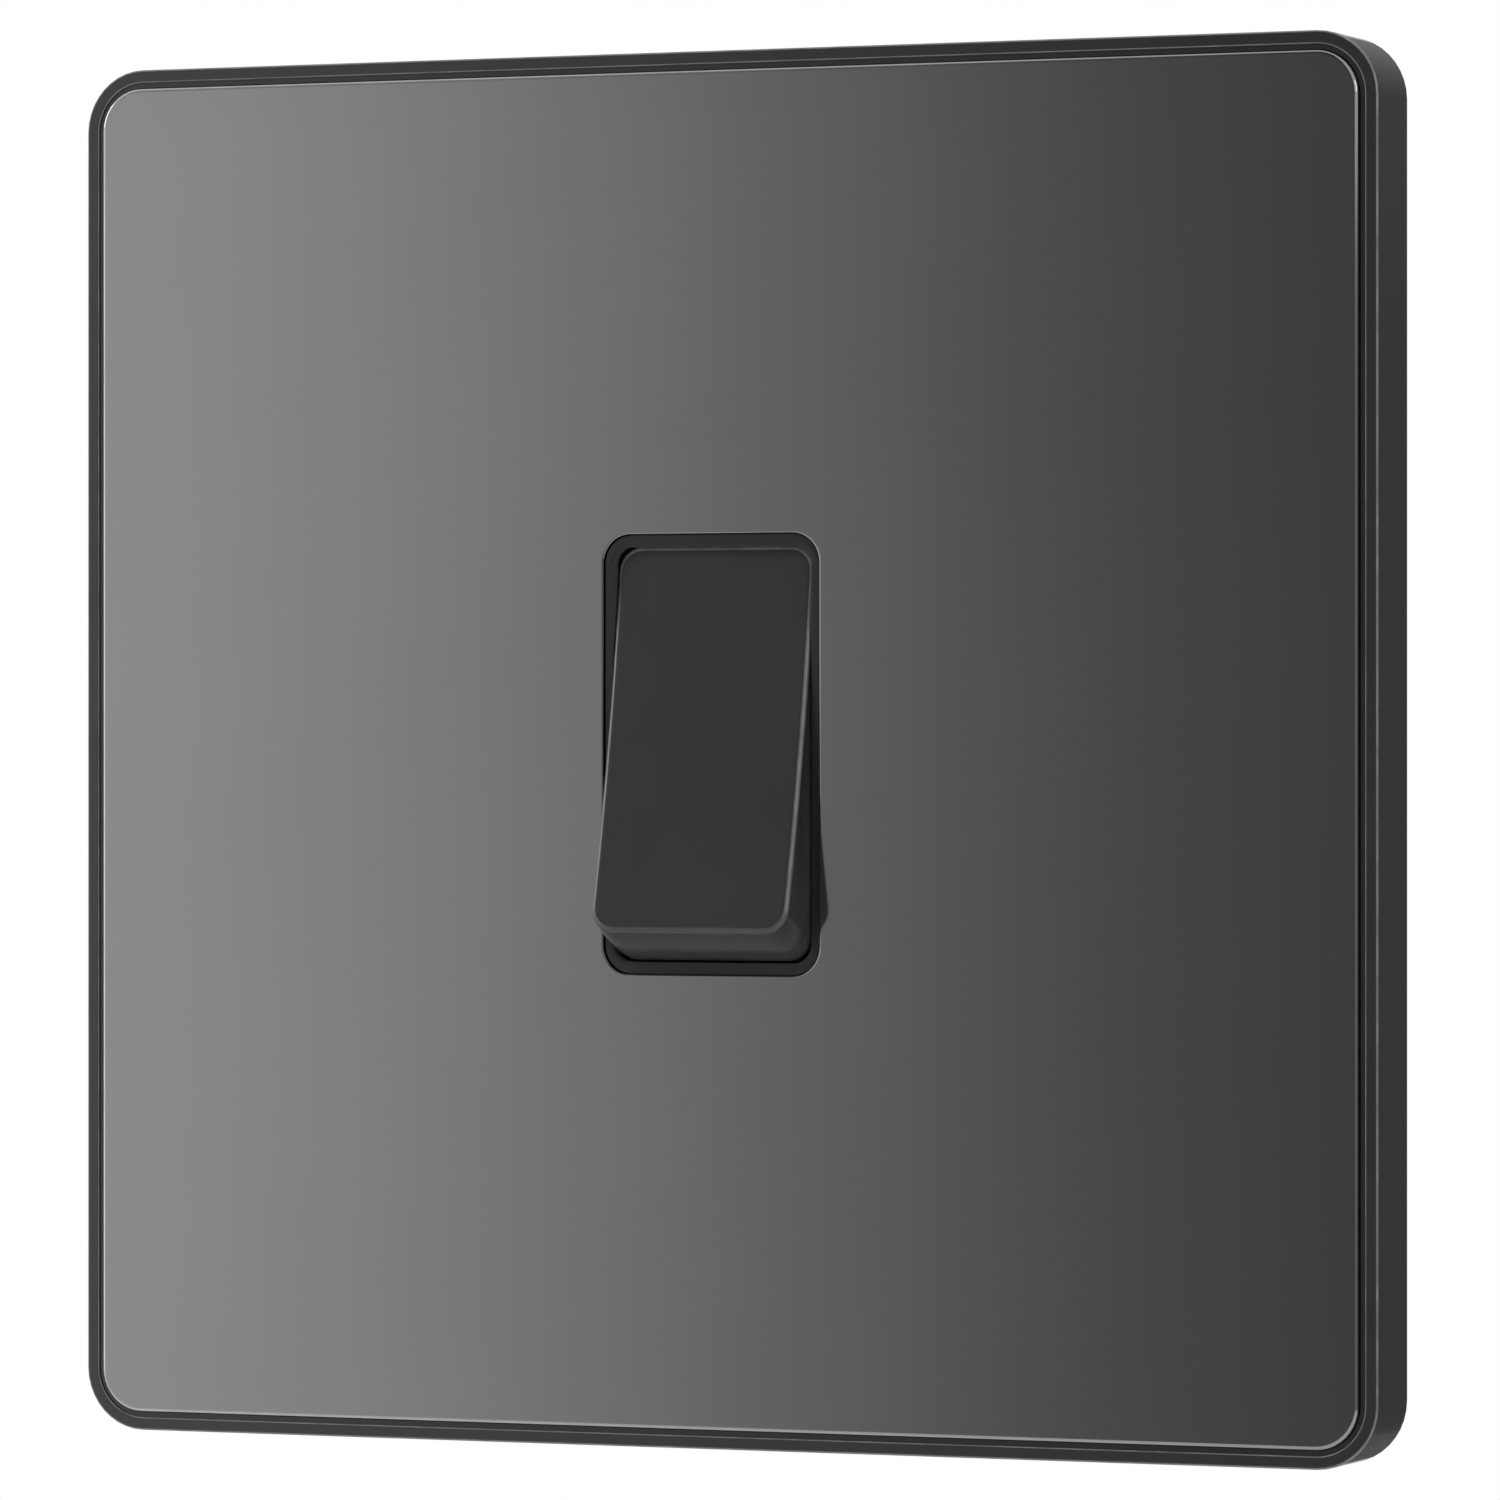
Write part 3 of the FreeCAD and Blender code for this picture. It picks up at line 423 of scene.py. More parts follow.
sawn_brass = metal(
    "sawn brass", colour=(0.80, 0.58, 0.27), tarnish=(0.50, 0.33, 0.14), share=0.5,
    stretch=(6.0, 1.0, 1.0), roughness=0.30, gloss_spread=0.25, relief=0.000004)
for line in ("common", "first_way", "second_way", "earth"):
    terminal = softened(line + "_terminal", line + "_block", sawn_brass, edge=0.00014)
    stands_for(terminal, line + "_terminal", "base")


# Terminal screws: headless slotted screws that press the wires from behind.
# Cut from plated steel rod with rolled threads, and backed out as supplied.

terminal_low, terminal_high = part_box("terminal_screws")
grub_crest, grub_core = 0.0017, 0.0014
grub_x, grub_z = terminal_high.x - grub_crest, terminal_high.z - grub_crest
grub_tip, grub_back = 0.0010, 0.92 * grub_core      # radius of its two ends
tip_length, back_length = 0.0003, 0.0002
grub_slot, grub_slot_depth = 0.0006, 0.0009
grub_turn = 37.0                 # degrees from one screw's slot to the next
grub_places = [(x, z) for x in (-grub_x, grub_x) for z in (-grub_z, grub_z)]

grub_mesh = bmesh.new()
for x, z in grub_places:
    place = along_y(x, z)
    rings = [circle(place, terminal_low.y, grub_tip)]
    rings += thread_rings(place, terminal_low.y + tip_length, terminal_high.y - back_length, grub_core,
                          grub_crest, fixing_pitch)
    rings += [circle(place, terminal_high.y, grub_back)]
    turned(grub_mesh, rings)
grub_screws = new_piece("screws_on_wires", grub_mesh, plated_steel)
grub_cut = (4 * grub_crest, 2 * grub_slot_depth, grub_slot)
carve(grub_screws, [block((x, terminal_high.y, z), grub_cut, grub_turn * index)
                    for index, (x, z) in enumerate(grub_places)])
stands_for(grub_screws, "terminal_screws", "base")


# Straps: three stampings in half-hard brass strip that join the contacts to their terminals.
# The common one steps forward and carries the fulcrum of the see-saw.

brass_strip = metal(
    "brass strip", colour=(0.83, 0.62, 0.31), tarnish=(0.56, 0.38, 0.17), share=0.4,
    stretch=(1.0, 1.0, 0.12), roughness=0.24, gloss_spread=0.2, relief=0.000003)
strip_edge = 0.00008
for line in ("common", "first_way", "second_way"):
    strap = softened(line + "_strap", line + "_stamping", brass_strip, strip_edge)
    stands_for(strap, line + "_strap", "base")


# Fixed contacts: flat silver-alloy rivets, headed over on the two way straps.
# The domed contacts of the see-saw close on them in turn.

def rounding(radius, steps):
    """Pairs (inset, depth) round an outer edge, from the side to the face."""
    turns = [math.pi / 2 * step / steps for step in range(steps + 1)]
    return [(radius * (1 - math.cos(turn)), radius * (1 - math.sin(turn))) for turn in turns]


silver_alloy = metal(
    "silver alloy", colour=(0.86, 0.85, 0.82), tarnish=(0.55, 0.50, 0.42), share=0.4,
    stretch=(1.0, 1.0, 1.0), roughness=0.25, gloss_spread=0.2, relief=0.000002)
fixed_low, fixed_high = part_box("fixed_contact_tips")
fixed_radius = fixed_high.x
fixed_edge, fixed_edge_steps = 0.00018, 4
fixed_flat = 0.6 * fixed_radius
fixed_mesh = bmesh.new()
for z in (fixed_low.z + fixed_radius, fixed_high.z - fixed_radius):
    place = along_y(0, z)
    rings = [circle(place, fixed_high.y, fixed_radius)]
    rings += [circle(place, fixed_low.y + depth, fixed_radius - inset)
              for inset, depth in rounding(fixed_edge, fixed_edge_steps)]
    rings.append(circle(place, fixed_low.y, fixed_flat))
    turned(fixed_mesh, rings)
fixed_contacts = new_piece("fixed_contacts", fixed_mesh, silver_alloy)
even_normals(fixed_contacts)
stands_for(fixed_contacts, "fixed_contact_tips", "base")


# Earth leaf: a springy strip of rolled phosphor bronze from the earth terminal to the cover's metal.
# Its bent crest rubs on the metal's back through an opening in the cover moulding.

bronze_leaf = metal(
    "rolled bronze", colour=(0.72, 0.46, 0.27), tarnish=(0.42, 0.26, 0.16), share=0.5,
    stretch=(1.0, 1.0, 9.0), roughness=0.28, gloss_spread=0.2, relief=0.000003)
earth_leaf = softened("earth_strap", "earth_leaf", bronze_leaf, edge=0.00005)
stands_for(earth_leaf, "earth_strap", "base")


# See-saw: a folded brass channel that rocks on the fulcrum and closes one way or the other.
# The plunger slides along it between its folded edges.

seesaw = softened("moving_contact", "seesaw", brass_strip, strip_edge)
stands_for(seesaw, "moving_contact", "seesaw")


# Moving contacts: domed silver-alloy rivets at the two ends of the see-saw.
# They are headed over on it and close on the fixed ones with a slight wipe.

seesaw_tilt = 7.5                # degrees, as it rests
contact_arm = 0.011              # fulcrum to the middle of a rivet
dome_radius, dome_height, dome_crown = 0.0015, 0.00075, 0.006
dome_rings, dome_crowding = 9, 1.6
dome_brim = 0.00008              # drop of the outermost ring, which rounds the brim
fulcrum = Vector(next(joint["pos_m"] for joint in frame["joints"] if joint["name"] == "contact_tilt"))
seesaw_turn = Matrix.Rotation(math.radians(seesaw_tilt), 3, "X")


def rivet_axis(arm):
    """Gives the place of points about a rivet of the see-saw, at its distance from the fulcrum."""
    def place(along, u, v):
        return fulcrum + seesaw_turn @ Vector((u, along, arm + v))
    return place


dome_mesh = bmesh.new()
for arm in (-contact_arm, contact_arm):
    place = rivet_axis(arm)
    rings = [circle(place, 0.0, dome_radius)]
    for step in range(dome_rings):
        radius = dome_radius * (1 - (step / dome_rings) ** dome_crowding)
        drop = dome_crown - math.sqrt(dome_crown ** 2 - radius ** 2)
        rings.append(circle(place, dome_height - drop - dome_brim * (step == 0), radius))
    turned(dome_mesh, rings)
moving_contacts = new_piece("moving_contacts", dome_mesh, silver_alloy)
stands_for(moving_contacts, "moving_contact_tips", "seesaw")


# Housing screws: two short self-tapping screws with pan heads, driven from behind into the support.
# Plated steel, with a coarse thread that cuts its own way into the nylon.

tapping_low, tapping_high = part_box("housing_screws")
tapping_head = tapping_high.x
tapping_z = tapping_high.z - tapping_head
tapping_head_height = 0.0014
tapping_seat = tapping_high.y - tapping_head_height
tapping_crest, tapping_core, tapping_pitch = 0.00125, 0.00085, 0.0009
tapping_neck = 0.0003            # plain length under the head
tapping_point, tapping_tip = 0.0006, 0.0002         # length of the point and radius of its tip
tapping_slot, tapping_slot_depth = 0.0007, 0.0007
tapping_turns = (12.0, -40.0)
tapping_mesh = bmesh.new()
for z in (-tapping_z, tapping_z):
    place = along_y(0, z)
    rings = pan_head(place, tapping_high.y, tapping_seat, tapping_head)
    rings += [circle(place, tapping_seat, tapping_core)]
    rings += thread_rings(place, tapping_seat - tapping_neck, tapping_low.y + tapping_point, tapping_core,
                          tapping_crest, tapping_pitch)
    rings += [circle(place, tapping_low.y, tapping_tip)]
    turned(tapping_mesh, rings)
tapping_screws = new_piece("screws_to_support", tapping_mesh, plated_steel)
tapping_cut = (3 * tapping_head, 2 * tapping_slot_depth, tapping_slot)
carve(tapping_screws, [block((0, tapping_high.y, z), tapping_cut, turn)
                       for z, turn in zip((-tapping_z, tapping_z), tapping_turns)])
stands_for(tapping_screws, "housing_screws", "base")


# Rocker: the key that is pressed, moulded in black with a soft rim and a slightly hollow face.
# Its ends are arcs round the trunnions, so the gap in the window stays even as it swings.
# Underneath it has thin walls, a cross of ribs and the barrel of the plunger.

rocker_tilt = 11.4
rocker_ends = 0.01445            # radius of the ends
rocker_half = 0.0072
rocker_corner = 0.0017
rocker_rim = 0.0003              # rounding of the face's rim
rocker_wall = 0.0014
rocker_skirt = 0.0012            # straight part behind the trunnions' line
rocker_foot = 0.00015            # rounding of the open edge
face_radius = 0.190
face_half = 0.0133               # middle of the face to its ends
inner_corner = 0.0005
ear_radius, ear_sunk = 0.0026, 0.0001               # the ears end a little inside the sides
trunnion_radius, trunnion_end, trunnion_lead = 0.00115, 0.009, 0.0003
barrel_radius, barrel_bore, barrel_sides = 0.0027, 0.0019, 48
barrel_back, barrel_front = 0.00585, 0.003
mouth_edge = 0.0002
rib_half = 0.0005
spine_clearance = 0.0015
side_lengths = 24                # the long sides are divided to follow the hollow face
corner_steps = 10
rim_steps, side_steps, foot_steps = 7, 10, 3        # rings of the rim, the sides and the open edge
beside_rim = 0.0002              # the face's last ring lies this close to its rim
top_highlight, side_highlight, foot_highlight = 1.0, 0.36, 0.05    # painted highlight on the rim, from its top to its foot
highlight_below = (0.02, 0.04, 0.065, 0.085, 0.1, 0.1, 0.1, 0.1)     # painted light on the side's rings, from the rim down, that lifts their shade
face_back = math.sqrt(rocker_ends ** 2 - face_half ** 2) + math.sqrt(face_radius ** 2 - face_half ** 2)
pivot = Vector(next(joint["pos_m"] for joint in frame["joints"] if joint["name"] == "rocker_hinge"))
rocker_turn = Matrix.Rotation(math.radians(-rocker_tilt), 3, "X")


def ring(half_width, half_height, corner, along=1):
    """Points (x, z) of a rectangle with round corners, whose upright sides have equally many lengths."""
    corner = max(corner, 0.0)
    points = []
    for quarter, (side, end) in enumerate([(1, 1), (-1, 1), (-1, -1), (1, -1)]):
        for step in range(corner_steps + 1):
            turn = math.pi / 2 * (quarter + step / corner_steps)
            points.append((side * (half_width - corner) + corner * math.cos(turn),
                           end * (half_height - corner) + corner * math.sin(turn)))
        if quarter in (1, 3):
            start = points[-1]
            height = 2 * (half_height - corner)
            points += [(start[0], start[1] - end * height * step / along) for step in range(1, along)]
    return points


def close_across(mesh, row, along):
    """Closes a ring with strips between its upright sides, so that a hollow face stays even."""
    left_start = 2 * corner_steps + 1
    right_start = 4 * corner_steps + 2 + along
    left_side = row[left_start:left_start + along + 1]
    right_side = (row[right_start:] + row[:1])[::-1]
    for step in range(along):
        mesh.faces.new((left_side[step], left_side[step + 1], right_side[step + 1], right_side[step]))


def rocker_place(x, ahead, up):
    """Place of a point of the rocker, given with the rocker level, once it is tilted to where it rests."""
    return pivot + rocker_turn @ Vector((x, -ahead, up))


def face_ahead(up):
    """How far the hollow face stands in front of the trunnions' line, at a height on the level rocker."""
    reach = min(abs(up), face_half)
    return face_back - math.sqrt(face_radius ** 2 - reach ** 2)


def rocker_ring(half_width, ends, behind, share, corner):
    """Ring of the rocker: behind is its depth under the face, and share leads on to the trunnions' line."""
    end_ahead = (face_ahead(face_half) - behind) * (1 - share)
    tall = math.sqrt(ends ** 2 - end_ahead ** 2)
    points = ring(half_width, tall, corner, side_lengths)
    return [rocker_place(x, (face_ahead(up) - behind) * (1 - share), up) for x, up in points]


def rim_ring(inset, depth):
    """Ring on the rim of the face: inset in plan and under the face by the depth."""
    end_ahead = face_ahead(face_half) - depth
    tall = math.sqrt(rocker_ends ** 2 - end_ahead ** 2) - inset
    points = ring(rocker_half - inset, tall, rocker_corner - inset, side_lengths)
    return [rocker_place(x, face_ahead(up) - depth, up) for x, up in points]


def level_ring(half_width, tall, corner, ahead):
    """Ring of the rocker in one plane."""
    return [rocker_place(x, ahead, up) for x, up in ring(half_width, tall, corner, side_lengths)]


def rim_highlight(up):
    """How strong the painted highlight on the rim is at a height: strongest along the top, to lift the
    shade that the window's edge casts there.
    """
    near_end = min(max(1.0 - (face_half - abs(up)) / rocker_corner, 0.0), 1.0)
    return side_highlight + near_end * ((top_highlight if up > 0 else foot_highlight) - side_highlight)


def mark_painted_highlight(mesh, rows, share=1.0):
    """Marks rows that get a painted highlight, a lighter colour that stands in for light."""
    painted_highlight = mesh.verts.layers.float["painted_highlight"]
    for row in rows:
        for corner in row:
            corner[painted_highlight] = share


def rocker_shell(mesh):
    """Skin of the rocker, from the middle of its face over the open edge to the middle of its underside."""
    painted_highlight = mesh.verts.layers.float.new("painted_highlight")
    rings = [rim_ring(inset, 0.0) for inset in (rocker_corner, rocker_rim + beside_rim)]
    rim_start = len(rings)
    rings += [rim_ring(inset, depth) for inset, depth in rounding(rocker_rim, rim_steps)[::-1]]
    rim_end = len(rings)
    rings += [rocker_ring(rocker_half, rocker_ends, rocker_rim, step / side_steps, rocker_corner)
              for step in range(1, side_steps + 1)]
    rings += [level_ring(rocker_half - inset, rocker_ends - inset, rocker_corner - inset,
                         depth - rocker_skirt)
              for inset, depth in rounding(rocker_foot, foot_steps)]
    inner, inner_ends = rocker_half - rocker_wall, rocker_ends - rocker_wall
    rings.append(level_ring(inner, inner_ends, inner_corner, -rocker_skirt))
    rings += [rocker_ring(inner, inner_ends, rocker_wall, share, inner_corner) for share in (1.0, 0.5, 0.0)]
    rings.append(rocker_ring(inner - inner_corner, inner_ends - inner_corner, rocker_wall, 0.0, 0.0))
    rows = skin_over(mesh, rings)
    # the rim's rings get a painted highlight, and the side's rings below it painted light over their shade
    for row in rows[rim_start + 1:rim_end - 1]:
        for corner in row:
            corner[painted_highlight] = rim_highlight((rocker_turn.inverted() @ (corner.co - pivot)).z)
    for row, share in zip(rows[rim_end:], highlight_below):
        mark_painted_highlight(mesh, [row], share)
    for row in (rows[0], rows[-1]):
        close_across(mesh, row, side_lengths)
    bmesh.ops.remove_doubles(mesh, verts=mesh.verts, dist=1e-7)


def painted_highlight_rims_group():
    """Mask of the painted highlights marked on the mesh, broken up along their length."""
    group, given, result = new_group("handled rims", {"Least": ("Float", 0.55)}, {"Mask": "Float"})
    marked = put(group, "ShaderNodeAttribute", attribute_name="painted_highlight").outputs["Fac"]
    patches = noise(group, object_place(group), scale=700.0, detail=3.0)
    broken = put(group, "ShaderNodeMapRange", {"Value": patches, "From Min": -0.2, "From Max": 0.2,
                                               "To Min": given["Least"], "To Max": 1.0}).outputs[0]
    group.links.new(maths(group, "MULTIPLY", marked, broken), result["Mask"])
    return group


painted_highlight_rims = painted_highlight_rims_group()


def paint_rim_highlights(material, colour):
    """Paints highlights: lightens the marked places of a piece, over the tone that its material already
    has.
    """
    tree = material.node_tree
    base = tree.nodes["Principled BSDF"].inputs["Base Color"]
    mask = put(tree, "ShaderNodeGroup", node_tree=painted_highlight_rims)
    lighter = mix_colour(tree, mask.outputs["Mask"], base.links[0].from_socket, (*colour, 1))
    tree.links.new(lighter, base)


def rib(mesh, across, ahead, up):
    """Rib inside the rocker, between two values of each direction."""
    for corner in bmesh.ops.create_cube(mesh, size=2.0)["verts"]:
        x, y, z = (pair[0] if value < 0 else pair[1] for value, pair in zip(corner.co, (across, ahead, up)))
        corner.co = rocker_place(x, y, z)


def sideways(side):
    """Gives the place of points about the trunnions' line, measured out to one side."""
    def place(along, u, v):
        return rocker_place(side * along, u, v)
    return place


def barrel_place(along, u, v):
    """Point round the plunger's axis; along is measured back from the trunnions' line."""
    return rocker_place(u, -along, v)


rocker_black = moulding(
    "rocker black", colour=(0.020, 0.020, 0.0205), worn_colour=(0.030, 0.030, 0.031), tone=0.2,
    grain=9000.0, roughness=0.24, gloss_spread=0.05, relief=0.0000005, edge_width=0.0002)
# painted highlight on the rocker's marked rim and sides, in this lighter grey
paint_rim_highlights(rocker_black, (0.26, 0.26, 0.264))

rocker_mesh = bmesh.new()
rocker_shell(rocker_mesh)
under_face = face_ahead(0.0) - rocker_wall * 0.5
inner_half = rocker_half - rocker_wall * 0.5
beside_bore = (barrel_bore + barrel_radius) / 2
ear = [(inner_half, ear_radius), (rocker_half - ear_sunk, ear_radius)]
pin = [(inner_half, trunnion_radius), (trunnion_end - trunnion_lead, trunnion_radius),
       (trunnion_end - trunnion_lead / 3, trunnion_radius - trunnion_lead / 3),
       (trunnion_end, trunnion_radius - trunnion_lead)]
for side in (-1, 1):
    rib(rocker_mesh, (side * beside_bore, side * inner_half), (0.0, under_face), (-rib_half, rib_half))
    rib(rocker_mesh, (-rib_half, rib_half), (spine_clearance, under_face),
        (side * beside_bore, side * (face_half - rocker_wall)))
    for profile in (ear, pin):
        turned(rocker_mesh, [circle(sideways(side), along, radius) for along, radius in profile])
barrel = [(-under_face, barrel_radius), (barrel_back - mouth_edge, barrel_radius),
          (barrel_back, barrel_radius - mouth_edge), (barrel_back, barrel_bore + mouth_edge),
          (barrel_back - mouth_edge, barrel_bore), (-barrel_front, barrel_bore)]
turned(rocker_mesh, [circle(barrel_place, along, radius, barrel_sides) for along, radius in barrel])
rocker = new_piece("rocker_key", rocker_mesh, rocker_black)
even_normals(rocker)
stands_for(rocker, "rocker", "rocker")


# Plunger: a stepped pin turned or moulded in natural nylon, with a round tip that rubs on the see-saw.
# It slides in the rocker's barrel, and a spigot keeps it in line with its spring.

plunger_radius, shank_radius, spigot_radius = 0.00185, 0.0012, 0.0009
plunger_shoulder, spigot_length = 0.0018, 0.0018
plunger_stand = 0.0006           # the thick part stands out of the barrel by this
plunger_tip = 0.009568
crown_radius, crown_steps = 0.0020, 8
plunger_edge = 0.00015
plunger_sides = 40

natural_nylon = moulding(
    "natural nylon", colour=(0.76, 0.73, 0.63), worn_colour=(0.82, 0.79, 0.70), tone=0.05, grain=6000.0,
    roughness=0.38, gloss_spread=0.1, relief=0.000006)
spigot_end = plunger_shoulder - spigot_length
head_end = barrel_back + plunger_stand
crown_centre = plunger_tip - crown_radius
crown_start = crown_centre + math.sqrt(crown_radius ** 2 - shank_radius ** 2)
profile = [(spigot_end, spigot_radius - plunger_edge), (spigot_end + plunger_edge, spigot_radius),
           (plunger_shoulder, spigot_radius), (plunger_shoulder, plunger_radius - plunger_edge),
           (plunger_shoulder + plunger_edge, plunger_radius), (head_end - plunger_edge, plunger_radius),
           (head_end, plunger_radius - plunger_edge), (head_end, shank_radius + plunger_edge),
           (head_end + plunger_edge, shank_radius), (crown_start, shank_radius)]
for step in range(1, crown_steps):
    radius = shank_radius * (1 - step / crown_steps)
    profile.append((crown_centre + math.sqrt(crown_radius ** 2 - radius ** 2), radius))
plunger_mesh = bmesh.new()
turned(plunger_mesh, [circle(barrel_place, along, radius, plunger_sides) for along, radius in profile])
plunger = new_piece("plunger_pin", plunger_mesh, natural_nylon)
even_normals(plunger)
stands_for(plunger, "plunger", "plunger")


# Plunger spring: a coil of drawn spring wire with closed ends, in the blind bore of the barrel.
# The real spring shortens as the plunger is pushed in; here it keeps one length and moves with the rocker.

wire_radius, wire_sides = 0.0002, 10
coil_radius = 0.0014
coil_gap = 0.00005
coil_turns = 6.0
closed_rise = 2.1 * wire_radius  # of the first and of the last turn
turn_steps = 24
coil_start = -barrel_front + coil_gap + wire_radius
coil_end = plunger_shoulder - coil_gap - wire_radius

spring_wire = metal(
    "spring wire", colour=(0.55, 0.54, 0.52), tarnish=(0.30, 0.28, 0.25), share=0.35,
    stretch=(1.0, 1.0, 1.0), roughness=0.30, gloss_spread=0.15, relief=0.000002)


def coil_point(step):
    """Middle of the wire; its first and last turns lie flat on their neighbours."""
    turns = step / turn_steps
    open_turns = coil_turns - 2
    open_rise = coil_end - coil_start - 2 * closed_rise
    rise = closed_rise * min(turns, 1.0) + closed_rise * max(turns - 1 - open_turns, 0.0)
    rise += open_rise * min(max((turns - 1) / open_turns, 0.0), 1.0)
    angle = 2 * math.pi * turns
    return barrel_place(coil_start + rise, coil_radius * math.cos(angle), coil_radius * math.sin(angle))


coil_axis = (barrel_place(1.0, 0, 0) - barrel_place(0.0, 0, 0)).normalized()
wire_rings = []
for step in range(int(coil_turns * turn_steps) + 1):
    middle = coil_point(step)
    outward = middle - pivot
    outward = (outward - coil_axis * outward.dot(coil_axis)).normalized()
    wire_rings.append([middle + (outward * math.cos(turn) + coil_axis * math.sin(turn)) * wire_radius
                       for turn in (2 * math.pi * side / wire_sides for side in range(wire_sides))])
spring_mesh = bmesh.new()
turned(spring_mesh, wire_rings)
spring = new_piece("plunger_coil", spring_mesh, spring_wire)
stands_for(spring, "plunger_spring", "rocker")
tuple(barrel_place(-barrel_front, 0, 0))
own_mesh(spring)


# Cover moulding: the black frame that holds the metal sheet, with a collar that lines its window.
# Moulded in one piece; its rim stands round the metal, with a narrow shadow line between them.
# Small gussets stiffen the rim, the earth leaf has an opening, and the bottom edge a pry notch.

metal_low, metal_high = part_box("front_plate")
cover_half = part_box("plate_frame")[1].x
cover_corner = 0.0043
metal_stand = 0.0003             # the sheet stands in front of the rim by this
rim_face = metal_low.y + metal_stand
rim_width = 0.0009
rim_round, rim_inner_round = 0.00014, 0.0001
rim_turns, inner_turns, small_turns = 5, 4, 3       # rings in the roundings
rim_wall = 0.002
groove_depth = 0.00018
seat_gap = 0.00005               # round the sheet's sides
seat_half, seat_corner = metal_high.x + seat_gap, 0.003
web_thickness = 0.0012
web_back = metal_high.y + web_thickness
back_round = 0.0001
near = 0.00008                   # rings this close to a rounding keep the flat beside it flat
passage_half, passage_tall, passage_corner = 0.00745, 0.01451, 0.0015
collar_wall = 0.00045
collar_recess = 0.0002           # the collar ends behind the sheet's face by this
collar_front = metal_low.y + collar_recess
collar_round = 0.00006
lip_half, lip_tall, lip_corner = 0.00727, 0.01412, 0.0013
lip_round = 0.00006
lip_ahead = 0.0034               # the lip's arc starts this far in front of the trunnions' line
lip_swing, swing_radius = 0.01451, 0.01482          # arcs that clear the rocker's ends
lining_half, lining_tall = 0.0083, 0.0154           # all that lies closer to the middle is lining
gusset_pitch, gusset_count, gusset_half = 0.018, 4, 0.0005
gusset_length, gusset_height = 0.004, 0.0022
pry_half, pry_depth = 0.004, 0.0012
pry_cut = 1.01 * pry_depth       # passes the back, so that the notch is open there
leaf_reach, leaf_room = 0.0052, 0.0006              # length of leaf at its opening, and room beside it
cut_past = 0.0002                # a cut passes the surfaces on both its sides by this


def square_ring(half, corner, y):
    """Ring of the cover or its sheet."""
    return [(x, y, z) for x, z in ring(half, half, corner)]


def window_ring(half_width, half_height, corner, y):
    """Ring round the window, whose middle is level with the trunnions."""
    return [(x, y, pivot.z + z) for x, z in ring(half_width, half_height, corner)]


def cover_shell(mesh):
    """Skin of the cover, from its back over the rim, the seat and the collar, and back inside the wall."""
    mesh.verts.layers.float.new("painted_highlight")
    rings = [square_ring(cover_half - inset, cover_corner - inset, -depth)
             for inset, depth in rounding(back_round, small_turns)[::-1]]
    rings.append(square_ring(cover_half, cover_corner, -back_round - near))
    rings.append(square_ring(cover_half, cover_corner, rim_face + rim_round + near))
    outer_rim = len(rings)
    rings += [square_ring(cover_half - inset, cover_corner - inset, rim_face + depth)
              for inset, depth in rounding(rim_round, rim_turns)]
    mouth, mouth_corner = cover_half - rim_width, cover_corner - rim_width
    rings += [square_ring(cover_half - rim_round - near, cover_corner - rim_round - near, rim_face),
              square_ring(mouth + rim_inner_round + near, mouth_corner + rim_inner_round + near, rim_face)]
    inner_rim = len(rings)
    rings += [square_ring(mouth + inset, mouth_corner + inset, rim_face + depth)
              for inset, depth in rounding(rim_inner_round, inner_turns)[::-1]]
    rings.append(square_ring(mouth, mouth_corner, rim_face + groove_depth))
    rings += [square_ring(seat_half, seat_corner, y) for y in (rim_face + groove_depth, metal_high.y)]
    wide, tall, corner = (size + collar_wall for size in (passage_half, passage_tall, passage_corner))
    rings.append(window_ring(wide, tall, corner, metal_high.y))
    rings += [window_ring(wide - inset, tall - inset, corner - inset, collar_front + depth)
              for inset, depth in rounding(collar_round, small_turns)]
    rings += [window_ring(lip_half + inset, lip_tall + inset, lip_corner + inset, collar_front + depth)
              for inset, depth in rounding(lip_round, small_turns)[::-1]]
    lip_start = len(rings) - 1
    for y in (pivot.y - lip_ahead, metal_high.y):
        rings.append(window_ring(lip_half, math.sqrt(lip_swing ** 2 - (pivot.y - y) ** 2), lip_corner, y))
    lip_end = len(rings)
    for share in (0.0, 0.5, 1.0):
        y = metal_high.y + (web_back - metal_high.y) * share
        swing = math.sqrt(swing_radius ** 2 - (pivot.y - y) ** 2)
        rings.append(window_ring(passage_half, swing, passage_corner, y))
    inside, inside_corner = cover_half - rim_wall, cover_corner - rim_wall
    rings += [square_ring(inside, inside_corner, y) for y in (web_back, -back_round)]
    rings.append(square_ring(inside + back_round, inside_corner + back_round, 0.0))
    rows = skin_over(mesh, rings, closed=True)
    # painted highlights on the rim's outer and inner roundings, and painted light on the shaded lip of the
    # collar
    mark_painted_highlight(mesh, rows[outer_rim + 1:outer_rim + rim_turns])
    mark_painted_highlight(mesh, rows[inner_rim + 1:inner_rim + inner_turns])
    mark_painted_highlight(mesh, rows[lip_start:lip_end])


def gusset(mesh, quarter, middle):
    """Small three-cornered web between the rim wall and the back of the cover."""
    wall = cover_half - rim_wall
    outline = [(web_back - near, wall - gusset_length), (web_back - near, wall + near),
               (web_back + gusset_height, wall + near)]
    turn = Matrix.Rotation(math.pi / 2 * quarter, 3, "Y")
    rows = [[mesh.verts.new(turn @ Vector((middle + x, y, z))) for y, z in outline]
            for x in (-gusset_half, gusset_half)]
    for row in rows:
        mesh.faces.new(row)
    for index in range(3):
        after = (index + 1) % 3
        mesh.faces.new((rows[0][index], rows[0][after], rows[1][after], rows[1][index]))


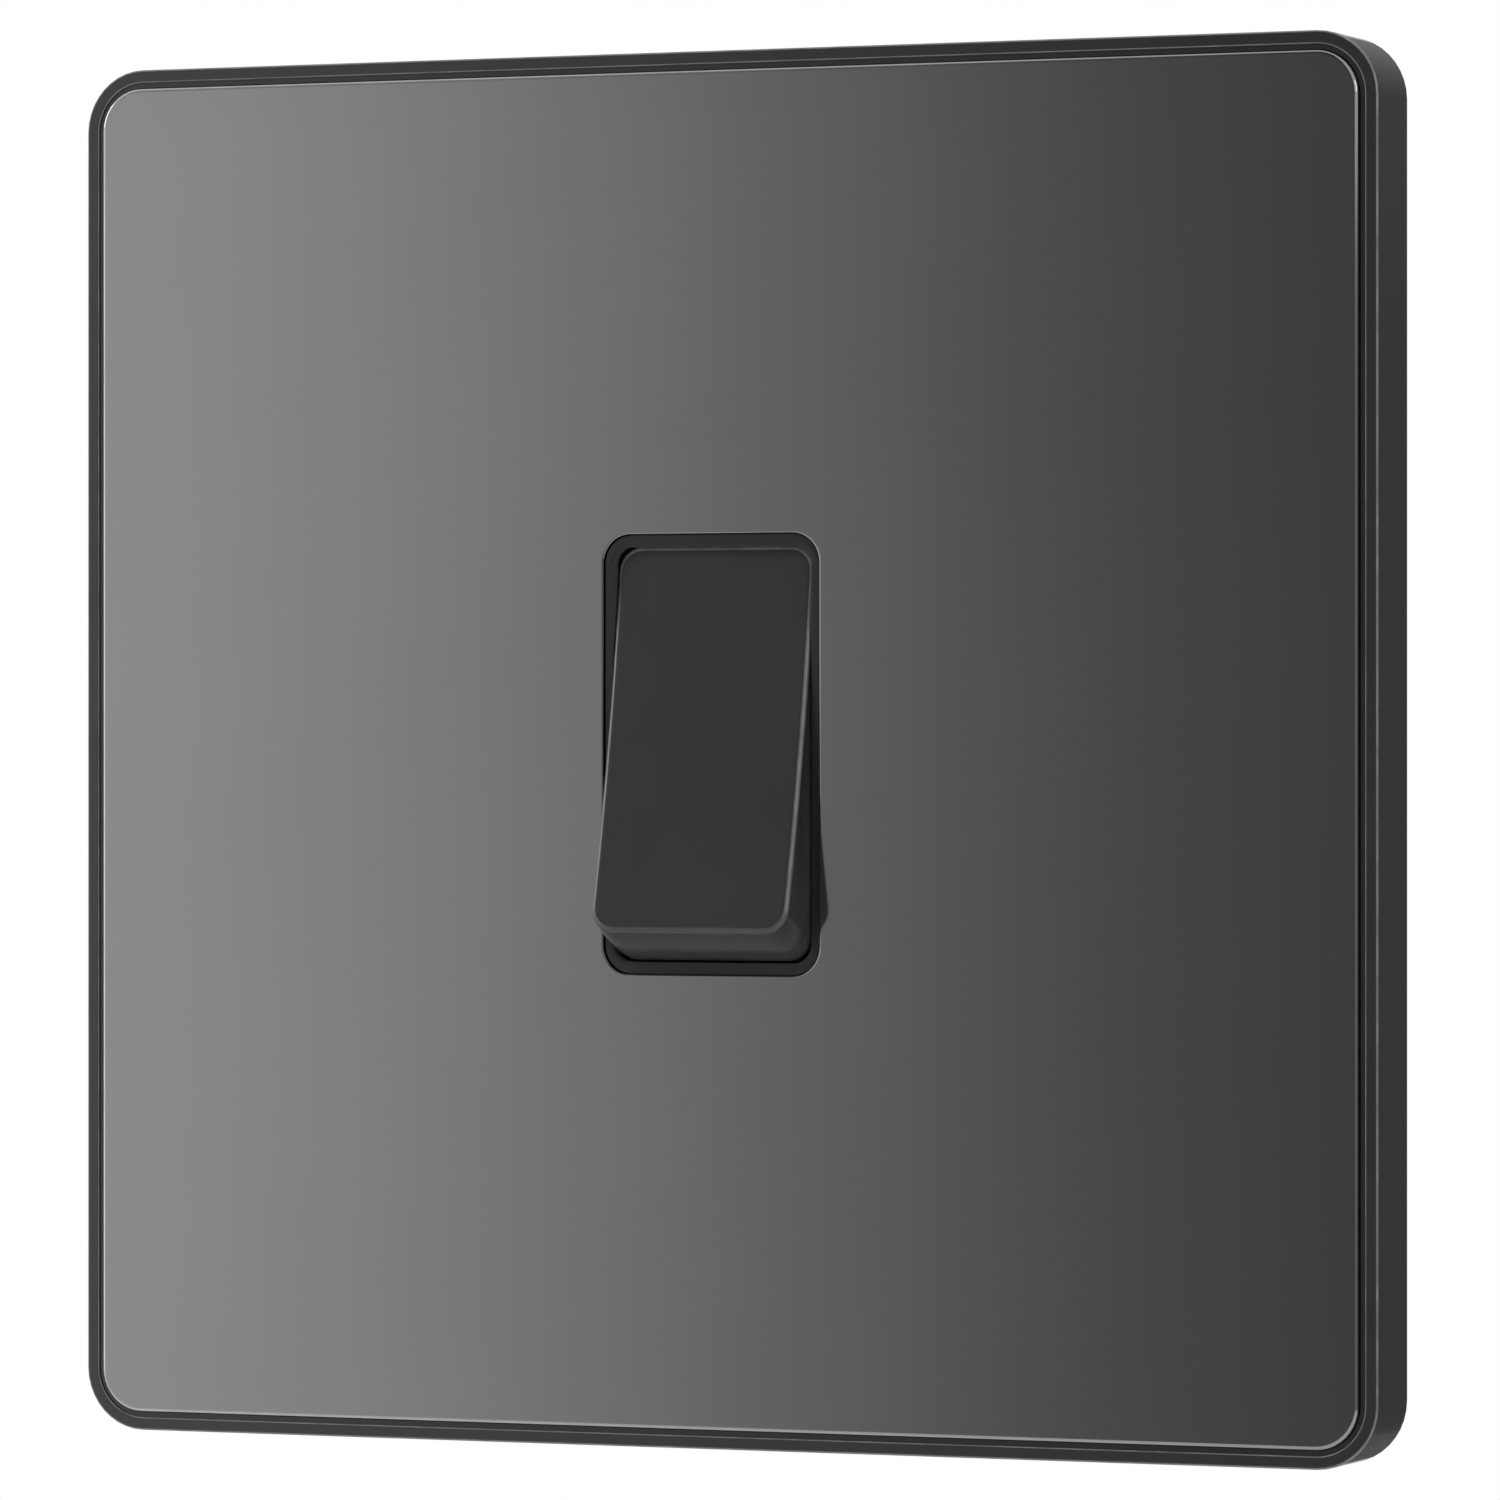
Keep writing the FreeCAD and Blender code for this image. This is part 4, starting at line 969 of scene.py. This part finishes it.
black_moulded = moulding(
    "black moulded", colour=(0.018, 0.018, 0.0185), worn_colour=(0.026, 0.026, 0.027), tone=0.2,
    grain=8000.0, roughness=0.18, gloss_spread=0.05, relief=0.000002, edge_width=0.00015)
# painted highlight lines on the rim's roundings, in this grey
paint_rim_highlights(black_moulded, (0.18, 0.18, 0.182))
window_lining = moulding(
    "window lining", colour=(0.0165, 0.0165, 0.017), worn_colour=(0.02, 0.02, 0.0205), tone=0.2,
    grain=8000.0, roughness=0.30, gloss_spread=0.05, relief=0.000002, edge_width=0.00015)
window_lining.node_tree.nodes["Principled BSDF"].inputs["IOR"].default_value = 1.33
# painted light on the lip, which lies in shade inside the window
paint_rim_highlights(window_lining, (0.07, 0.07, 0.071))

leaf_low, leaf_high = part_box("earth_strap")
cover_mesh = bmesh.new()
cover_shell(cover_mesh)
cover = new_piece("cover_moulding", cover_mesh, black_moulded)
leaf_middle = (leaf_low.x + leaf_high.x) / 2
leaf_opening = (leaf_high.z - leaf_reach + leaf_high.z + leaf_room) / 2
carve(cover, [block((0, -pry_depth / 2, -cover_half + rim_wall / 2),
                    (2 * pry_half, pry_cut, rim_wall + 2 * cut_past)),
              block((leaf_middle, (web_back + metal_high.y) / 2, leaf_opening),
                    (leaf_high.x - leaf_low.x + 2 * leaf_room, web_thickness + 2 * cut_past,
                     leaf_reach + leaf_room))])
webs = bmesh.new()
webs.from_mesh(cover.data)
for quarter in range(4):
    for step in range(gusset_count):
        gusset(webs, quarter, (step - (gusset_count - 1) / 2) * gusset_pitch)
bmesh.ops.recalc_face_normals(webs, faces=webs.faces)
for face in webs.faces:
    middle = face.calc_center_median()
    if abs(middle.x) < lining_half and abs(middle.z - pivot.z) < lining_tall:
        face.material_index = 1
cover.data.materials.append(window_lining)
webs.to_mesh(cover.data)
webs.free()
cover.data.set_sharp_from_angle(angle=smooth_angle)
even_normals(cover)
stands_for(cover, "plate_frame", "front_cover")


# Clip tongues: four springy tongues at the back of the cover, moulded in one with it.
# Their barbs snap behind the lips of the support.

tongues = softened("clip_tongues", "snap_tongues", black_moulded, edge=0.00012)
stands_for(tongues, "clip_tongues", "front_cover")


# Front sheet: stamped and polished steel with a black-nickel finish, its edges drawn over a little.
# Glued into the cover moulding, where it stands a little proud of the rim.

sheet_half, sheet_corner = metal_high.x, 0.00295
sheet_edge, edge_steps = 0.00024, 6
window_half, window_tall, window_corner = 0.00795, 0.01501, 0.002
window_edge, window_steps = 0.00007, 4


def black_nickel_finish():
    """Dark mirror: a faint cloud of tone, fine polishing lines in the gloss, and a painted highlight on its
    marked edges.
    """
    material, tree, shader = new_material("black nickel")
    shader.inputs["Metallic"].default_value = 1.0
    place = object_place(tree)
    cloud = noise(tree, place, scale=60.0, detail=3.0)
    polished = put(tree, "ShaderNodeVectorMath", {0: place, 1: (0.35, 1.0, 9.0)}, operation="MULTIPLY")
    lines = noise(tree, polished.outputs[0], scale=2600.0, detail=3.0)
    darker, paler = (0.262, 0.262, 0.264, 1), (0.278, 0.278, 0.280, 1)
    tone = mix_colour(tree, maths(tree, "ADD", cloud, 0.5), darker, paler)
    gloss = put(tree, "ShaderNodeMapRange", {"Value": lines, "From Min": -0.2, "From Max": 0.2,
                                             "To Min": 0.06, "To Max": 0.10}).outputs[0]
    bump = put(tree, "ShaderNodeBump", {"Height": lines, "Strength": 1.0, "Distance": 0.00000008})
    tree.links.new(tone, shader.inputs["Base Color"])
    tree.links.new(gloss, shader.inputs["Roughness"])
    tree.links.new(bump.outputs[0], shader.inputs["Normal"])
    # painted highlight on the marked edges, in this pale grey
    paint_rim_highlights(material, (0.46, 0.46, 0.46))
    return material


rings = [window_ring(window_half, window_tall, window_corner, metal_high.y)]
for inset, depth in rounding(window_edge, window_steps) + [(window_edge + near, 0.0)]:
    rings.append(window_ring(window_half + inset, window_tall + inset, window_corner + inset,
                             metal_low.y + depth))
rings.append(square_ring(sheet_half - sheet_edge - near, sheet_corner - sheet_edge - near, metal_low.y))
edge_start = len(rings)
rings += [square_ring(sheet_half - inset, sheet_corner - inset, metal_low.y + depth)
          for inset, depth in rounding(sheet_edge, edge_steps)[::-1]]
rings.append(square_ring(sheet_half, sheet_corner, metal_high.y))
sheet_mesh = bmesh.new()
painted_highlight = sheet_mesh.verts.layers.float.new("painted_highlight")
rows = skin_over(sheet_mesh, rings, closed=True)
for row in rows[edge_start + 1:edge_start + edge_steps]:
    for corner in row:           # painted highlight, brightest at the left edge, and none at the right one
        corner[painted_highlight] = max(0.5 - 0.5 * corner.co.x / sheet_half, 0.0)
black_nickel = black_nickel_finish()
sheet = new_piece("front_sheet", sheet_mesh, black_nickel)
even_normals(sheet)
stands_for(sheet, "front_plate", "front_cover")


# Studio: a pale floor well below the switch, a white surround, soft lamps and reflector cards.
# The cards only show in glossy surfaces; they give the polished front its even fall of tone.

def stage_material(name, build):
    """Material of the studio; build puts its shader in a tree and gives its outlet."""
    material = bpy.data.materials.new(name)
    material.use_nodes = True
    tree = material.node_tree
    tree.nodes.clear()
    output = tree.nodes.new("ShaderNodeOutputMaterial")
    tree.links.new(build(tree), output.inputs["Surface"])
    return material


def floor_shader(tree):
    """Pale matt floor that fades into the white surround, and lets a view from below through."""
    pale = put(tree, "ShaderNodeBsdfDiffuse", {"Color": (0.86, 0.86, 0.86, 1)}).outputs[0]
    white = put(tree, "ShaderNodeEmission", {"Color": (1, 1, 1, 1), "Strength": 1.0}).outputs[0]
    away = put(tree, "ShaderNodeVectorMath", {0: object_place(tree)}, operation="LENGTH").outputs["Value"]
    fade = put(tree, "ShaderNodeMapRange", {"Value": away, "From Min": 0.15, "From Max": 0.5}).outputs[0]
    near_floor = put(tree, "ShaderNodeMixShader", {0: fade, 1: pale, 2: white}).outputs[0]
    clear = put(tree, "ShaderNodeBsdfTransparent").outputs[0]
    below = put(tree, "ShaderNodeNewGeometry").outputs["Backfacing"]
    return put(tree, "ShaderNodeMixShader", {0: below, 1: near_floor, 2: clear}).outputs[0]


floor_drop = 0.16
floor_mesh = bmesh.new()
bmesh.ops.create_circle(floor_mesh, cap_ends=True, segments=64, radius=4.0)
floor = new_piece("floor", floor_mesh, stage_material("floor", floor_shader))
floor.location = (0, 0, cad_box[0].z - floor_drop)


def card(name, corner, across, up, shader):
    """Flat card that only shows in reflections."""
    corner, across, up = Vector(corner), Vector(across), Vector(up)
    mesh = bmesh.new()
    corners = [corner, corner + across, corner + across + up, corner + up]
    mesh.faces.new([mesh.verts.new(point) for point in corners])
    made = new_piece(name, mesh, stage_material(name, shader))
    made.visible_camera = False
    made.visible_diffuse = False
    made.visible_shadow = False


def graded_card(tree):
    """Bright at one side and dark at the other, so the metal shows an even fall of tone.
    Its upper part, which the tilted face of the rocker mirrors, is darker."""
    place = put(tree, "ShaderNodeSeparateXYZ", {0: object_place(tree)}).outputs
    share = put(tree, "ShaderNodeMapRange", {"Value": place["X"], "From Min": -0.52, "From Max": -0.24})
    ramp = put(tree, "ShaderNodeValToRGB", {"Fac": share.outputs[0]})
    stops = [(0.0, 0.98), (0.15, 0.90), (0.35, 0.675), (0.58, 0.405), (0.78, 0.224), (1.0, 0.143)]
    while len(ramp.color_ramp.elements) < len(stops):
        ramp.color_ramp.elements.new(0.5)
    for element, (position, level) in zip(ramp.color_ramp.elements, stops):
        element.position = position
        element.color = (level, level, level, 1)
    upper = put(tree, "ShaderNodeMapRange", {"Value": place["Z"], "From Min": 0.12, "From Max": 0.3,
                                             "To Min": 1.0, "To Max": 0.5}).outputs[0]
    return put(tree, "ShaderNodeEmission", {"Color": ramp.outputs["Color"], "Strength": upper}).outputs[0]


def plain_card(level):
    """Gives a shader of one even brightness."""
    def shader(tree):
        colour = (level, level, level, 1)
        return put(tree, "ShaderNodeEmission", {"Color": colour, "Strength": 1.0}).outputs[0]
    return shader


def back_card(tree):
    """Dark, and brighter towards its top, which the upper round corner of the cover mirrors."""
    place = put(tree, "ShaderNodeSeparateXYZ", {0: object_place(tree)}).outputs
    level = put(tree, "ShaderNodeMapRange", {"Value": place["Z"], "From Min": 0.05, "From Max": 0.25,
                                             "To Min": 0.11, "To Max": 0.34}).outputs[0]
    return put(tree, "ShaderNodeEmission", {"Color": (1, 1, 1, 1), "Strength": level}).outputs[0]


cards_y, cards_foot, low_card_z = -0.9, -0.2, -0.205     # the low one lies just under the others' feet
card("left_card", (-1.6, cards_y, cards_foot), (0.86, 0, 0), (0, 0, 0.35), plain_card(1.9))
card("graded_card", (-0.74, cards_y, cards_foot), (0.84, 0, 0), (0, 0, 1.4), graded_card)
card("front_card", (0.1, cards_y, cards_foot), (0.7, 0, 0), (0, 0, 0.3), plain_card(0.35))
card("right_card", (0.8, cards_y, cards_foot), (0.3, 1.3, 0), (0, 0, 0.3), plain_card(0.3))
card("back_card", (-0.08, 0.45, cards_foot), (0.6, 0, 0), (0, 0, 0.45), back_card)
card("low_card", (-0.3, 0.2, low_card_z), (0.8, 0, 0), (0, 0.25, 0), plain_card(0.05))


def area_lamp(name, place, size, power, glossy=True):
    """Soft rectangular lamp that faces the switch."""
    lamp = bpy.data.lights.new(name, "AREA")
    lamp.shape = "RECTANGLE"
    lamp.size, lamp.size_y = size
    lamp.energy = power
    made = bpy.data.objects.new(name, lamp)
    made.location = place
    made.rotation_euler = (-Vector(place)).to_track_quat("-Z", "Y").to_euler()
    made.visible_glossy = glossy
    made.visible_camera = False
    bpy.context.scene.collection.objects.link(made)


area_lamp("key", (-0.7, -0.9, 0.9), (0.5, 0.5), 7.0, glossy=False)
area_lamp("right_strip", (0.95, -0.5, 0.33), (0.4, 0.34), 1.5)
area_lamp("left_strip", (-1.0, -0.38, 0.33), (0.4, 0.34), 1.5)
area_lamp("back", (0.3, 0.9, 0.7), (0.6, 0.6), 7.0, glossy=False)
area_lamp("low", (-0.03, -0.11, -0.19), (0.2, 0.2), 0.045, glossy=False)

world = bpy.data.worlds.new("white surround")
bpy.context.scene.world = world
world.use_nodes = True
tree = world.node_tree
seen = put(tree, "ShaderNodeLightPath")
shown = maths(tree, "MAXIMUM", seen.outputs["Is Camera Ray"], seen.outputs["Is Glossy Ray"])
shown = maths(tree, "MAXIMUM", shown, seen.outputs["Is Transmission Ray"])
surround = tree.nodes["Background"]
surround.inputs["Color"].default_value = (1, 1, 1, 1)
level = put(tree, "ShaderNodeMapRange", {"Value": shown, "To Min": 0.6, "To Max": 1.0}).outputs[0]
tree.links.new(level, surround.inputs["Strength"])

camera_turn = math.radians(22.615)
camera_distance = 0.5785         # to the plane through the middle of the rim
camera_aside = 0.00256           # the aim passes a little to the right of the middle
camera = bpy.data.objects.new("camera", bpy.data.cameras.new("camera"))
camera.data.sensor_width = 36.0
camera.data.lens = 204.46
camera.location = (Vector((0, rim_face, 0))
                   + camera_distance * Vector((math.sin(camera_turn), -math.cos(camera_turn), 0))
                   + camera_aside * Vector((math.cos(camera_turn), math.sin(camera_turn), 0)))
camera.rotation_euler = (math.pi / 2, 0, camera_turn)
bpy.context.scene.collection.objects.link(camera)
bpy.context.scene.camera = camera
bpy.context.scene.view_settings.view_transform = "Standard"
